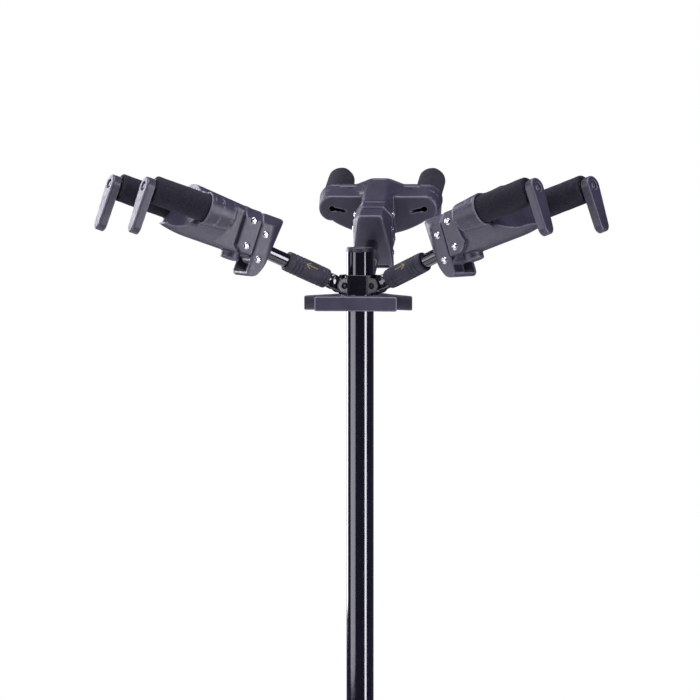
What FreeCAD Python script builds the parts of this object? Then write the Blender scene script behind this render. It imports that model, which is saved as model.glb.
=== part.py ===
"""Floor-standing guitar rack: three self-closing yokes on folding arms round one column.

The column stands on the Z axis with the floor at z = 0.  The arms point at 90, 210 and 330 degrees and
the legs stand between them, at 30, 150 and 270 degrees.
A head is drawn in its own frame: X runs outwards along the prongs, Y to the left and Z up across them,
from the point of the column's axis that is level with the middle of the storage plate.
An arm and a leg are drawn with X along the tube and the origin in the hinge bolt.
"""
import FreeCAD
import Part
import os
import re
import Sketcher

os.makedirs("parts", exist_ok=True)

Vector = FreeCAD.Vector
Placement = FreeCAD.Placement
Rotation = FreeCAD.Rotation
X_AXIS = Vector(1, 0, 0)
Y_AXIS = Vector(0, 1, 0)
Z_AXIS = Vector(0, 0, 1)

ARMS = {"rear": 90, "left": 210, "right": 330}
LEGS = {"front": 270, "right": 30, "left": 150}
SIDES = {"left": 1, "right": -1}

# ---------------------------------------------------------------- driving dimensions (mm and degrees)
DRIVING = {
    # column
    "PlateLevel": 985, "TubeRadius": 12.7, "TubeWall": 1.5, "UpperTubeFoot": 480, "UpperTubeTop": 1031,
    "PlugDome": 4, "PlugRound": 3.4, "PlugStem": 20, "LowerTubeRadius": 15.9, "LowerTubeWall": 1.6,
    "LowerTubeFoot": 112, "LowerTubeTop": 572, "BushLength": 34, "Slip": 0.05,
    # storage plate
    "PlateThick": 13.6, "PlateTop": 5.4, "LobeReach": 36.3, "LobeHalf": 39.5,
    "NotchHalf": 11.6, "NotchBottom": 15.4,
    # hub that carries the arms
    "HubSheet": 2.5, "HubFoot": 5.6, "HubTall": 19, "HubWebOut": 12.8, "HubWebHalf": 11, "EarInner": 5.85,
    "EarStart": 15.2, "EarRadius": 7, "ArmPivotOut": 19.5, "ArmPivotUp": 14.7, "BoltRadius": 2.5,
    "BoltHeadRadius": 3.7, "BoltHeadTall": 2,
    # arm and its lock sleeve
    "ArmTilt": 23.5, "ArmRadius": 6.5, "EyeRadius": 6.2, "TongueHalf": 5.6, "TongueLength": 14,
    "ArmTubeStart": 8.5, "ArmEnd": 94, "SleeveStart": 16, "SleeveLength": 44, "SleeveRadius": 9.5,
    "GrooveDepth": 0.9, "GrooveWidth": 1.8, "GroovePitch": 3.8,
    # head: housing
    "HeadTilt": 19, "BlockHalf": 18.3, "BlockTop": 46.5, "TopFlatHalf": 10, "ShoulderUp": 37,
    "HousingRearTop": 100.6, "HousingRearLow": 109.2, "RearLowUp": -5.4, "HousingFront": 123.9,
    "HousingBottomRear": 115.5, "HousingBottom": -14.2, "HousingInside": 112.4, "HousingWall": 3,
    "Overshoot": 4,
    "HousingRound": 4, "HousingLowRound": 6,
    # head: parallel links and their pins
    "LinkBackOut": 117.2, "LinkUpperUp": 27, "LinkLowerUp": 2.8, "LinkSpan": 17.2, "LinkRise": 29.5,
    "LinkRadius": 4.4, "LinkHalf": 10.5, "LinkWeb": 3, "PinRadius": 2, "OpenPivot": 0.3,
    "ScrewHeadRadius": 3.4, "ScrewHeadTall": 1.4, "CoilRadius": 3.1, "CoilWire": 0.6, "CoilGap": 0.9,
    "CoilPitch": 1.14, "CoilTail": 8,
    # head: yoke
    "FlangeRear": 124.6, "FlangeFront": 141, "FlangeFoot": 4, "FlangeCut": 9, "FlangeFootFront": 134,
    "LinkRoomFront": 131, "NeckHalf": 14, "NeckBevel": 5,
    "EarRear": 161.2, "SocketLip": 192.6, "ProngHalf": 44.5, "ProngUp": 28.9, "EarRound": 15.4,
    "WingTop": 44, "WingFoot": 13.7, "HumpTop": 50.5, "HumpHalf": 8, "HumpFoot": 25, "HumpStart": 178,
    "KeelTip": 214, "KeelUp": 2.2, "KeelHalf": 13, "KeelRoot": 36, "KeelLip": 4.6, "ScoopMid": 200,
    "ScoopUp": 13, "ScoopDeep": 13,
    "BossOut": 137, "BossRound": 9.5, "BossUp": -4, "YokeInside": 152,
    "YokeRoof": 4.5, "YokeFloor": 2.4, "YokeInsideHalf": 11, "EarWall": 2.4, "CrankRoom": 12.8,
    "KeyholeRadius": 2.8, "KeyholeSlot": 1.2, "KeyholeDrop": 2.2, "KeyholeLength": 13,
    # head: prongs, foam and gates
    "FoamRadius": 13, "FoamGap": 0.3, "FoamStart": 179, "FoamEnd": 245.4, "ProngRadius": 7,
    "ProngStart": 171, "ProngEnd": 246.9, "ProngRing": 10, "SpindleRadius": 4, "CrankStart": 164.4,
    "CrankThick": 5, "CrankReach": 11.5, "GateRear": 247.4, "GateFront": 255.8, "GateRound": 9.2,
    "GateTipRound": 6.8, "GateTip": 44, "GateRecess": 4.4, "GateRecessDeep": 2,
    # height clutch
    "ClutchFoot": 556, "ClutchTall": 50, "ClutchRadius": 23, "ClutchSlit": 2, "LeverOut": 29,
    "LeverUp": 594, "LeverHalf": 6, "LeverThick": 6, "LeverTip": 562, "LeverNose": 5, "ClutchEarThick": 4,
    "ClutchEarTall": 16, "ClutchEarRoot": 14,
    # legs and feet
    "LegHubFoot": 108, "LegHubTall": 66, "LegHubRadius": 23, "LegPivotOut": 37, "LegPivotUp": 143,
    "LegSlope": 23.2, "LegRadius": 9.5, "LegWall": 1.5, "LegEnd": 312, "LegTongue": 18, "LegHalf": 7.8,
    "LegEarGap": 8.1, "LegEarThick": 4, "LegEarRadius": 10, "LegBolt": 4, "LegBoltHead": 7,
    "LegBoltTall": 4, "FootOut": 330, "FootRadius": 14, "FootSole": 9, "FootBody": 13, "FootTall": 23,
    "FootSleeve": 12.3,
    "FootSleeveStart": 284, "FootSleeveEnd": 316,
    # backrests
    "RestFoot": 318, "RestCollarTall": 34, "RestCollarRadius": 22, "RestUp": 335, "RestReach": 116,
    "RestHalf": 64, "RestRod": 5, "RestFoam": 13.5, "RestFoamStart": 8, "RestFoamEnd": 62,
}

doc = FreeCAD.newDocument("GuitarRack")
sizes = doc.addObject("Spreadsheet::Sheet", "Sizes")
for row, (alias, number) in enumerate(DRIVING.items(), start=1):
    sizes.set("A%d" % row, alias)
    sizes.set("B%d" % row, str(number))
    sizes.setAlias("B%d" % row, alias)
doc.recompute()

nodes = {}


# ---------------------------------------------------------------- drawing helpers
def sheet(expression):
    """Put the sheet's name before each alias in an expression."""
    return re.sub("[A-Za-z][A-Za-z0-9]*",
                  lambda word: "Sizes." + word[0] if word[0] in DRIVING else word[0], str(expression))


def value(expression):
    """Work out an expression over the sheet."""
    result = sizes.evalExpression(sheet(expression))
    return float(getattr(result, "Value", result))


def place_at(x, y, z, axis=X_AXIS, angle=0):
    return Placement(Vector(value(x), value(y), value(z)), Rotation(axis, angle))


def outwards(x, y, z):
    """Place that turns a primitive's own Z axis to run along X."""
    return place_at(x, y, z, Y_AXIS, 90)


def sideways(x, y, z):
    """Place that turns a primitive's own Z axis to run along Y."""
    return place_at(x, y, z, X_AXIS, -90)


def primitive(kind, place, **expressions):
    """A Part primitive whose sizes are bound to the sheet."""
    item = doc.addObject("Part::" + kind, kind)
    for name, expression in expressions.items():
        item.setExpression(name, sheet(expression))
    item.Placement = place
    return item


def cylinder(radius, length, place):
    return primitive("Cylinder", place, Radius=radius, Height=length)


def box(long, wide, tall, place):
    return primitive("Box", place, Length=long, Width=wide, Height=tall)


def cut(base, *tools):
    for tool in tools:
        item = doc.addObject("Part::Cut", "Cut")
        item.Base = base
        item.Tool = tool
        base = item
    return base


def fuse(*items):
    item = doc.addObject("Part::MultiFuse", "Fuse")
    item.Shapes = list(items)
    return item


def group(*items):
    item = doc.addObject("Part::Compound", "Group")
    item.Links = list(items)
    return item


def ring(outer, inner, length, place):
    return cut(cylinder(outer, length, place), cylinder(inner, length, place))


def node(item, label, place=None):
    """Name a finished sub-part and put it in its place on the object."""
    item.Label = label
    if place is not None:
        item.Placement = place
    nodes[label] = item
    return item


def origin_item(body, role):
    return [item for item in body.Origin.OriginFeatures if item.Role == role][0]


def new_sketch(body, role, offset):
    sketch = body.newObject("Sketcher::SketchObject", "Outline")
    sketch.AttachmentSupport = [(origin_item(body, role), "")]
    sketch.MapMode = "FlatFace"
    sketch.setExpression(".AttachmentOffset.Base.z", sheet(offset))
    return sketch


def hold(sketch, kind, index, point, expression):
    """Bind one distance from the sketch's origin to the sheet."""
    if kind == "Radius":
        which = sketch.addConstraint(Sketcher.Constraint(kind, index, value(expression)))
    else:
        which = sketch.addConstraint(Sketcher.Constraint(kind, -1, 1, index, point, value(expression)))
    sketch.setExpression("Constraints[%d]" % which, sheet(expression))


def polygon(body, role, points, offset="0"):
    """A closed outline on one of a body's origin planes, each corner bound to the sheet."""
    sketch = new_sketch(body, role, offset)
    corners = [Vector(value(across), value(up), 0) for across, up in points]
    count = len(corners)
    for index in range(count):
        sketch.addGeometry(Part.LineSegment(corners[index], corners[(index + 1) % count]), False)
    for index in range(count):
        sketch.addConstraint(Sketcher.Constraint("Coincident", index, 2, (index + 1) % count, 1))
    for index, (across, up) in enumerate(points):
        hold(sketch, "DistanceX", index, 1, across)
        hold(sketch, "DistanceY", index, 1, up)
    return sketch


def discs(body, role, centres, radius, offset="0"):
    """Round outlines of one radius on one of a body's origin planes."""
    sketch = new_sketch(body, role, offset)
    for index, (across, up) in enumerate(centres):
        centre = Vector(value(across), value(up), 0)
        sketch.addGeometry(Part.Circle(centre, Z_AXIS, value(radius)), False)
        hold(sketch, "DistanceX", index, 3, across)
        hold(sketch, "DistanceY", index, 3, up)
        hold(sketch, "Radius", index, 0, radius)
    return sketch


def mirrored(points):
    """An outline's right half, given from top to bottom, closed by its mirror image on the left."""
    left = [("0 - ( %s )" % across, up) for across, up in reversed(points)]
    return points + left


def new_body(name):
    return doc.addObject("PartDesign::Body", name)


def pad(body, sketch, length, both_ways=False, back=False):
    feature = body.newObject("PartDesign::Pad", "Pad")
    feature.Profile = sketch
    feature.setExpression("Length", sheet(length))
    feature.Midplane = both_ways
    feature.Reversed = back
    return feature


def pocket(body, sketch, length, both_ways=False, back=False):
    """Cut an outline out of the body, which has to lose volume."""
    doc.recompute()
    before = body.Shape.Volume
    feature = body.newObject("PartDesign::Pocket", "Pocket")
    feature.Profile = sketch
    feature.setExpression("Length", sheet(length))
    feature.Midplane = both_ways
    feature.Reversed = back
    doc.recompute()
    if body.Shape.Volume > before - 0.5:
        raise RuntimeError("a pocket of %s cut nothing" % body.Name)
    return feature


def revolve(body, sketch, role):
    feature = body.newObject("PartDesign::Revolution", "Turned")
    feature.Profile = sketch
    feature.ReferenceAxis = (origin_item(body, role), [""])
    feature.Angle = 360
    return feature


def ease(body, kind, size_name, wanted):
    """Fillet or chamfer the body's edges that a test picks out by their middle point."""
    doc.recompute()
    base = body.Tip
    names = []
    for index, edge in enumerate(base.Shape.Edges, start=1):
        middle = edge.valueAt((edge.FirstParameter + edge.LastParameter) / 2)
        if wanted(middle, edge):
            names.append("Edge%d" % index)
    if not names:
        raise RuntimeError("no edge of %s fits the test" % body.Name)
    feature = body.newObject("PartDesign::" + kind, "Eased")
    feature.Base = (base, names)
    feature.setExpression("Radius" if kind == "Fillet" else "Size", sheet(size_name))
    doc.recompute()
    return feature


def near(number, expression):
    return abs(number - value(expression)) < 0.02


def turned_to(azimuth):
    """Place on the column's axis, with X turned to an azimuth."""
    return Placement(Vector(), Rotation(Z_AXIS, azimuth))


def head_place(azimuth):
    tilt = Rotation(Y_AXIS, -value("HeadTilt"))
    return turned_to(azimuth) * Placement(Vector(0, 0, value("PlateLevel")), tilt)


def arm_place(azimuth):
    tilt = Rotation(Y_AXIS, -value("ArmTilt"))
    pivot = Vector(value("ArmPivotOut"), 0, value("PlateLevel + ArmPivotUp"))
    return turned_to(azimuth) * Placement(pivot, tilt)


def leg_place(azimuth):
    slope = Rotation(Y_AXIS, value("LegSlope"))
    pivot = Vector(value("LegPivotOut"), 0, value("LegPivotUp"))
    return turned_to(azimuth) * Placement(pivot, slope)


def through_bolt(radius, head_radius, head_tall, half, x, z):
    """A bolt across Y with a round head on each side."""
    length = "2 * ( %s )" % half
    shank = cylinder(radius, length, sideways(x, "0 - ( %s )" % half, z))
    heads = [
        cylinder(head_radius, head_tall, sideways(x, half, z)),
        cylinder(head_radius, head_tall, sideways(x, "0 - ( %s ) - %s" % (half, head_tall), z)),
    ]
    return fuse(shank, *heads)


# ---------------------------------------------------------------- column
def build_column():
    foot = place_at("0", "0", "UpperTubeFoot")
    node(ring("TubeRadius", "TubeRadius - TubeWall", "UpperTubeTop - UpperTubeFoot", foot), "upper_tube")
    node(ring("LowerTubeRadius - LowerTubeWall - Slip", "TubeRadius + Slip", "BushLength", foot),
         "tube_bush")
    node(ring("LowerTubeRadius", "LowerTubeRadius - LowerTubeWall", "LowerTubeTop - LowerTubeFoot",
              place_at("0", "0", "LowerTubeFoot")), "lower_tube")


def build_end_plug():
    body = new_body("EndPlug")
    stem = "TubeRadius - TubeWall - Slip"
    points = [("0", "0 - PlugStem"), (stem, "0 - PlugStem"), (stem, "0"), ("TubeRadius", "0"),
              ("TubeRadius", "PlugDome"), ("0", "PlugDome")]
    revolve(body, polygon(body, "XZ_Plane", points), "Z_Axis")
    ease(body, "Fillet", "PlugRound", lambda middle, edge: near(middle.z, "PlugDome") and edge.Closed)
    node(body, "end_plug", place_at("0", "0", "UpperTubeTop"))


def build_storage_plate():
    """Three flat-faced lobes; the slots between them take the folded arms."""
    shapes = []
    for azimuth in LEGS.values():
        piece = box("LobeReach", "2 * LobeHalf", "PlateThick",
                    place_at("0", "0 - LobeHalf", "PlateTop - PlateThick"))
        piece.Placement = turned_to(azimuth) * piece.Placement
        shapes.append(piece)
    slots = []
    for azimuth in ARMS.values():
        slot = box("LobeHalf * 2", "2 * NotchHalf", "2 * PlateThick",
                   place_at("NotchBottom", "0 - NotchHalf", "0 - PlateThick"))
        slot.Placement = turned_to(azimuth) * slot.Placement
        slots.append(slot)
    bore = cylinder("TubeRadius + Slip", "2 * PlateThick", place_at("0", "0", "0 - PlateThick"))
    node(cut(fuse(*shapes), *slots, bore), "storage_plate", place_at("0", "0", "PlateLevel"))


def build_hub():
    """Three bent sheets: each has a web against the tube and a flange beside each of its two arms."""
    sheets = []
    for azimuth in LEGS.values():
        web = box("HubSheet", "2 * HubWebHalf", "HubTall",
                  place_at("HubWebOut", "0 - HubWebHalf", "HubFoot"))
        web.Placement = turned_to(azimuth) * web.Placement
        parts = [web]
        for side in (1, -1):
            parts.append(hub_flange(azimuth, side))
        sheets.append(fuse(*parts))
    node(group(*sheets), "hub_plates", place_at("0", "0", "PlateLevel"))
    bolts = []
    for azimuth in ARMS.values():
        bolt = through_bolt("BoltRadius", "BoltHeadRadius", "BoltHeadTall", "EarInner + HubSheet + Slip",
                            "ArmPivotOut", "ArmPivotUp")
        bolt.Placement = turned_to(azimuth)
        bolts.append(bolt)
    node(group(*bolts), "arm_bolts", place_at("0", "0", "PlateLevel"))


def hub_flange(azimuth, side):
    """The flange on one side of a sheet, which lies beside the arm 60 degrees further round."""
    low = "EarInner" if side < 0 else "0 - EarInner - HubSheet"
    flange = box("ArmPivotOut - EarStart", "HubSheet", "HubTall", place_at("EarStart", low, "HubFoot"))
    end = cylinder("EarRadius", "HubSheet", sideways("ArmPivotOut", low, "ArmPivotUp"))
    hole = cylinder("BoltRadius + Slip", "HubSheet", sideways("ArmPivotOut", low, "ArmPivotUp"))
    whole = cut(fuse(flange, end), hole)
    whole.Placement = turned_to(azimuth + side * 60)
    return whole


# ---------------------------------------------------------------- arm
def build_arm(name, azimuth):
    eye = cylinder("EyeRadius", "2 * TongueHalf", sideways("0", "0 - TongueHalf", "0"))
    tongue = box("TongueLength", "2 * TongueHalf", "2 * EyeRadius",
                 place_at("0", "0 - TongueHalf", "0 - EyeRadius"))
    tube = cylinder("ArmRadius", "ArmEnd - ArmTubeStart", outwards("ArmTubeStart", "0", "0"))
    hole = cylinder("BoltRadius + Slip", "2 * TongueHalf", sideways("0", "0 - TongueHalf", "0"))
    node(cut(fuse(eye, tongue, tube), hole), "arm_" + name, arm_place(azimuth))


def build_lock_sleeve(name, azimuth):
    """Ribbed sleeve that slides along the arm: two grooves at its inner end and three at its outer end."""
    body = new_body("LockSleeve")
    outer = "SleeveRadius"
    points = [("SleeveStart", "ArmRadius + Slip"), ("SleeveStart", outer)]
    groove_starts = ["SleeveStart + GroovePitch * %g" % step for step in (1, 2)]
    groove_starts += ["SleeveStart + SleeveLength - GroovePitch * %g" % step for step in (4, 3, 2)]
    for start in groove_starts:
        points += [
            (start, outer),
            (start, outer + " - GrooveDepth"),
            (start + " + GrooveWidth", outer + " - GrooveDepth"),
            (start + " + GrooveWidth", outer),
        ]
    end = "SleeveStart + SleeveLength"
    points += [(end, outer), (end, "ArmRadius + Slip")]
    revolve(body, polygon(body, "XZ_Plane", points), "X_Axis")
    node(body, "lock_sleeve_" + name, arm_place(azimuth))


# ---------------------------------------------------------------- head: housing and links
def top_corner_cut(body, start, length):
    """Bevel both top corners of a block that runs along X, with a tool that overshoots the block."""
    for sign in ("", "0 - "):
        beyond = sign + "( BlockHalf + Overshoot )"
        points = [(sign + "TopFlatHalf", "BlockTop"), (beyond, "BlockTop + Overshoot"),
                  (beyond, "ShoulderUp - Overshoot"), (sign + "BlockHalf", "ShoulderUp")]
        pocket(body, polygon(body, "YZ_Plane", points, start), length, back=True)


def build_housing(name, azimuth):
    """Hollow block that takes the arm's end; its front is open towards the yoke."""
    body = new_body("Housing")
    side_view = [("HousingRearTop", "BlockTop"), ("HousingFront", "BlockTop"),
                 ("HousingFront", "HousingBottom"), ("HousingBottomRear", "HousingBottom"),
                 ("HousingRearLow", "RearLowUp")]
    pad(body, polygon(body, "XZ_Plane", side_view), "2 * BlockHalf", both_ways=True)
    ease(body, "Fillet", "HousingRound", lambda middle, edge:
         near(middle.y, "0") and near(middle.x, "HousingRearTop") and near(middle.z, "BlockTop"))
    ease(body, "Fillet", "HousingLowRound", lambda middle, edge:
         near(middle.y, "0") and near(middle.x, "HousingBottomRear"))
    top_corner_cut(body, "HousingRearTop - 1", "HousingFront - HousingRearTop + 2")
    wall = "HousingWall"
    inside = mirrored([("TopFlatHalf - 1", "BlockTop - " + wall), ("BlockHalf - " + wall, "ShoulderUp - 2"),
                       ("BlockHalf - " + wall, "HousingBottom + " + wall)])
    pocket(body, polygon(body, "YZ_Plane", inside, "HousingFront + 1"),
           "HousingFront - HousingInside + 1")
    for up in ("LinkUpperUp", "LinkLowerUp"):
        pocket(body, discs(body, "XZ_Plane", [("LinkBackOut", up)], "PinRadius + Slip"),
               "2 * BlockHalf + 2", both_ways=True)
    doc.recompute()
    arm_room = cylinder("ArmRadius + Slip", "ArmEnd", outwards("0", "0", "0"))
    arm_room.Placement = head_place(azimuth).inverse() * arm_place(azimuth) * arm_room.Placement
    node(cut(body, arm_room), "housing_" + name, head_place(azimuth))


def link_ends():
    """Back and front pin places of the upper and the lower link at rest."""
    rise = "LinkSpan * sin(LinkRise)"
    run = "LinkSpan * cos(LinkRise)"
    ends = {}
    for level in ("Upper", "Lower"):
        up = "Link%sUp" % level
        ends[level.lower()] = (("LinkBackOut", up), ("LinkBackOut + " + run, up + " + " + rise))
    return ends


def build_link(name, azimuth, level, front_slip):
    (back_x, back_z), (front_x, front_z) = link_ends()[level]
    low = "0 - LinkHalf"
    wide = "2 * LinkHalf"
    ends = [cylinder("LinkRadius", wide, sideways(x, low, z))
            for x, z in ((back_x, back_z), (front_x, front_z))]
    web = box("LinkSpan", wide, "2 * LinkWeb", place_at("0", low, "0 - LinkWeb"))
    web.Placement = place_at(back_x, "0", back_z, Y_AXIS, -value("LinkRise")) * web.Placement
    holes = [cylinder("PinRadius + Slip", wide, sideways(back_x, low, back_z)),
             cylinder("PinRadius + " + front_slip, wide, sideways(front_x, low, front_z))]
    node(cut(fuse(*ends, web), *holes), "%s_link_%s" % (level, name), head_place(azimuth))


def build_screws(name, azimuth):
    """Pins across the housing and across the yoke, with a domed head on each side."""
    for end, part in ((0, "housing"), (1, "yoke")):
        pins = [through_bolt("PinRadius", "ScrewHeadRadius", "ScrewHeadTall", "BlockHalf + Slip",
                             *link_ends()[level][end]) for level in ("upper", "lower")]
        node(group(*pins), "%s_screws_%s" % (part, name), head_place(azimuth))


def build_return_spring(name, azimuth):
    """Two small torsion coils on the upper housing pin, one each side of the upper link."""
    coils = []
    for side in (1, -1):
        turns = []
        for turn in range(3):
            middle = "%d * ( LinkHalf + CoilGap + %d * CoilPitch )" % (side, turn)
            turns.append(primitive("Torus", sideways("LinkBackOut", middle, "LinkUpperUp"),
                                   Radius1="CoilRadius", Radius2="CoilWire"))
        tail_start = place_at("LinkBackOut", "%d * ( LinkHalf + CoilGap )" % side, "LinkUpperUp + CoilRadius")
        tail = cylinder("CoilWire", "CoilTail", tail_start)
        coils.append(fuse(*turns, tail))
    node(group(*coils), "return_spring_" + name, head_place(azimuth))


# ---------------------------------------------------------------- head: yoke
def build_yoke(name, azimuth):
    """Moulded yoke: a flange and neck at the back, two ears with foam sockets, a hump and a scooped keel."""
    body = new_body("Yoke")
    flange = [("FlangeRear", "BlockTop"), ("FlangeFront", "BlockTop"), ("FlangeFront", "FlangeCut"),
              ("FlangeFootFront", "FlangeFoot"), ("FlangeRear", "FlangeFoot")]
    pad(body, polygon(body, "XZ_Plane", flange), "2 * BlockHalf", both_ways=True)
    top_corner_cut(body, "FlangeRear - 1", "FlangeFront - FlangeRear + 2")
    ridge = mirrored([("TopFlatHalf", "BlockTop"), ("NeckHalf", "BlockTop - NeckBevel"),
                      ("NeckHalf", "KeelUp")])
    pad(body, polygon(body, "YZ_Plane", ridge, "FlangeFront - 2"), "SocketLip - FlangeFront + 2")
    wing = mirrored([("ProngHalf", "WingTop"), ("ProngHalf", "WingFoot"), ("KeelHalf", "KeelUp")])
    pad(body, polygon(body, "YZ_Plane", wing, "EarRear"), "SocketLip - EarRear")
    prongs = [("ProngHalf", "ProngUp"), ("0 - ProngHalf", "ProngUp")]
    pad(body, discs(body, "YZ_Plane", prongs, "EarRound", "EarRear"), "SocketLip - EarRear")
    hump = mirrored([("HumpHalf", "HumpTop"), ("HumpFoot", "WingTop"), ("HumpFoot", "WingTop - 4")])
    pad(body, polygon(body, "YZ_Plane", hump, "HumpStart"), "SocketLip - HumpStart")
    build_keel(body)
    pad(body, discs(body, "XY_Plane", [("BossOut", "0")], "BossRound", "BossUp"), "KeelUp + 2 - BossUp")
    hollow_yoke(body, prongs)
    node(body, "yoke_" + name, head_place(azimuth))


def build_keel(body):
    """Scoop ahead of the sockets: a tray that narrows to the keel's tip and rises to the hump."""
    scoop = [("SocketLip - 2", "HumpTop - 1"), ("SocketLip", "HumpTop - 4"),
             ("SocketLip + 2", "ScoopUp + ScoopDeep"), ("ScoopMid", "ScoopUp"),
             ("KeelTip - 5", "KeelLip + 2"), ("KeelTip", "KeelLip"),
             ("KeelTip", "KeelUp"), ("SocketLip - 2", "KeelUp")]
    pad(body, polygon(body, "XZ_Plane", scoop), "2 * KeelHalf", both_ways=True)
    tray = [("SocketLip - 2", "KeelRoot"), ("KeelTip", "KeelHalf - 1"), ("KeelTip", "1 - KeelHalf"),
            ("SocketLip - 2", "0 - KeelRoot")]
    pad(body, polygon(body, "XY_Plane", tray, "KeelUp"), "ScoopUp - 2")
    for sign in ("", "0 - "):
        under = [(sign + "KeelHalf", "KeelUp"), (sign + "ProngHalf", "WingFoot"),
                 (sign + "ProngHalf", "KeelUp - 2"), (sign + "KeelHalf", "KeelUp - 2")]
        pocket(body, polygon(body, "YZ_Plane", under, "SocketLip"), "KeelTip - SocketLip", back=True)
    above = [("KeelTip - 1", "KeelLip + 0.5"), ("KeelTip + 1", "KeelLip"), ("KeelTip + 1", "ScoopUp + 4"),
             ("ScoopMid", "ScoopUp + 4"), ("ScoopMid", "ScoopUp - 1")]
    pocket(body, polygon(body, "XZ_Plane", above), "4 * KeelRoot", both_ways=True)


def hollow_yoke(body, prongs):
    """Sockets, prong bores, crank rooms, keyholes, the links' room and its way in, and the pin holes."""
    pocket(body, discs(body, "YZ_Plane", prongs, "FoamRadius + FoamGap", "SocketLip"),
           "SocketLip - FoamStart + FoamGap")
    pocket(body, discs(body, "YZ_Plane", prongs, "ProngRadius + Slip", "FoamStart"),
           "FoamStart - ProngStart + FoamGap")
    pocket(body, discs(body, "YZ_Plane", prongs, "CrankRoom", "ProngStart - FoamGap"),
           "ProngStart - FoamGap - EarRear - EarWall")
    pocket(body, discs(body, "YZ_Plane", prongs, "KeyholeRadius", "EarRear + EarWall + 1"), "EarWall + 2")
    for sign in ("", "0 - "):
        slot_end = sign + "( ProngHalf - KeyholeLength )"
        slot = [(sign + "ProngHalf", "ProngUp + KeyholeSlot"), (sign + "ProngHalf", "ProngUp - KeyholeSlot"),
                (slot_end, "ProngUp - KeyholeSlot - KeyholeDrop"),
                (slot_end, "ProngUp + KeyholeSlot - KeyholeDrop")]
        pocket(body, polygon(body, "YZ_Plane", slot, "EarRear + EarWall"), "EarWall + 1")
    room = mirrored([("YokeInsideHalf", "BlockTop - YokeRoof"), ("YokeInsideHalf", "FlangeFoot + YokeFloor")])
    pocket(body, polygon(body, "YZ_Plane", room, "YokeInside"), "YokeInside - FlangeRear + 1")
    way_in = mirrored([("YokeInsideHalf", "FlangeFoot + YokeFloor + 1"),
                       ("YokeInsideHalf", "FlangeFoot - 1")])
    pocket(body, polygon(body, "YZ_Plane", way_in, "LinkRoomFront"), "LinkRoomFront - FlangeRear + 1")
    for level in ("upper", "lower"):
        pocket(body, discs(body, "XZ_Plane", [link_ends()[level][1]], "PinRadius + Slip"),
               "2 * BlockHalf + 2", both_ways=True)


# ---------------------------------------------------------------- head: prongs, foam and gates
def build_prongs(name, azimuth):
    tubes = []
    sleeves = []
    for side in SIDES.values():
        y = "%d * ProngHalf" % side
        tube = cylinder("ProngRadius", "ProngEnd - ProngStart", outwards("ProngStart", y, "ProngUp"))
        collar = cylinder("ProngRing", "ProngEnd - FoamEnd - Slip", outwards("FoamEnd + Slip", y, "ProngUp"))
        bore = cylinder("SpindleRadius + Slip", "ProngEnd - ProngStart", outwards("ProngStart", y, "ProngUp"))
        tubes.append(cut(fuse(tube, collar), bore))
        sleeves.append(ring("FoamRadius", "ProngRadius + Slip", "FoamEnd - FoamStart",
                            outwards("FoamStart", y, "ProngUp")))
    node(group(*tubes), "prongs_" + name, head_place(azimuth))
    node(group(*sleeves), "foam_sleeves_" + name, head_place(azimuth))


def build_gate(name, azimuth, side_name):
    """Gate that hangs from its spindle; a crank inside the ear turns it inwards."""
    side = SIDES[side_name]
    body = new_body("Gate")
    y = "%d * ProngHalf" % side
    thick = "GateFront - GateRear"
    tip_up = "ProngUp - GateTip + GateTipRound"
    bar = [(y + " + GateRound", "ProngUp"), (y + " + GateTipRound", tip_up),
           (y + " - GateTipRound", tip_up), (y + " - GateRound", "ProngUp")]
    pad(body, polygon(body, "YZ_Plane", bar, "GateRear"), thick)
    pad(body, discs(body, "YZ_Plane", [(y, "ProngUp")], "GateRound", "GateRear"), thick)
    pad(body, discs(body, "YZ_Plane", [(y, tip_up)], "GateTipRound", "GateRear"), thick)
    pad(body, discs(body, "YZ_Plane", [(y, "ProngUp")], "SpindleRadius", "CrankStart"),
        "GateRear - CrankStart")
    crank = [(y + " + 3", "ProngUp"), (y + " + 2.5", "ProngUp + CrankReach"),
             (y + " - 2.5", "ProngUp + CrankReach"), (y + " - 3", "ProngUp")]
    pad(body, polygon(body, "YZ_Plane", crank, "CrankStart"), "CrankThick")
    pocket(body, discs(body, "YZ_Plane", [(y, "ProngUp")], "GateRecess", "GateFront"), "GateRecessDeep")
    node(body, "gate_%s_%s" % (side_name, name), head_place(azimuth))


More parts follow.
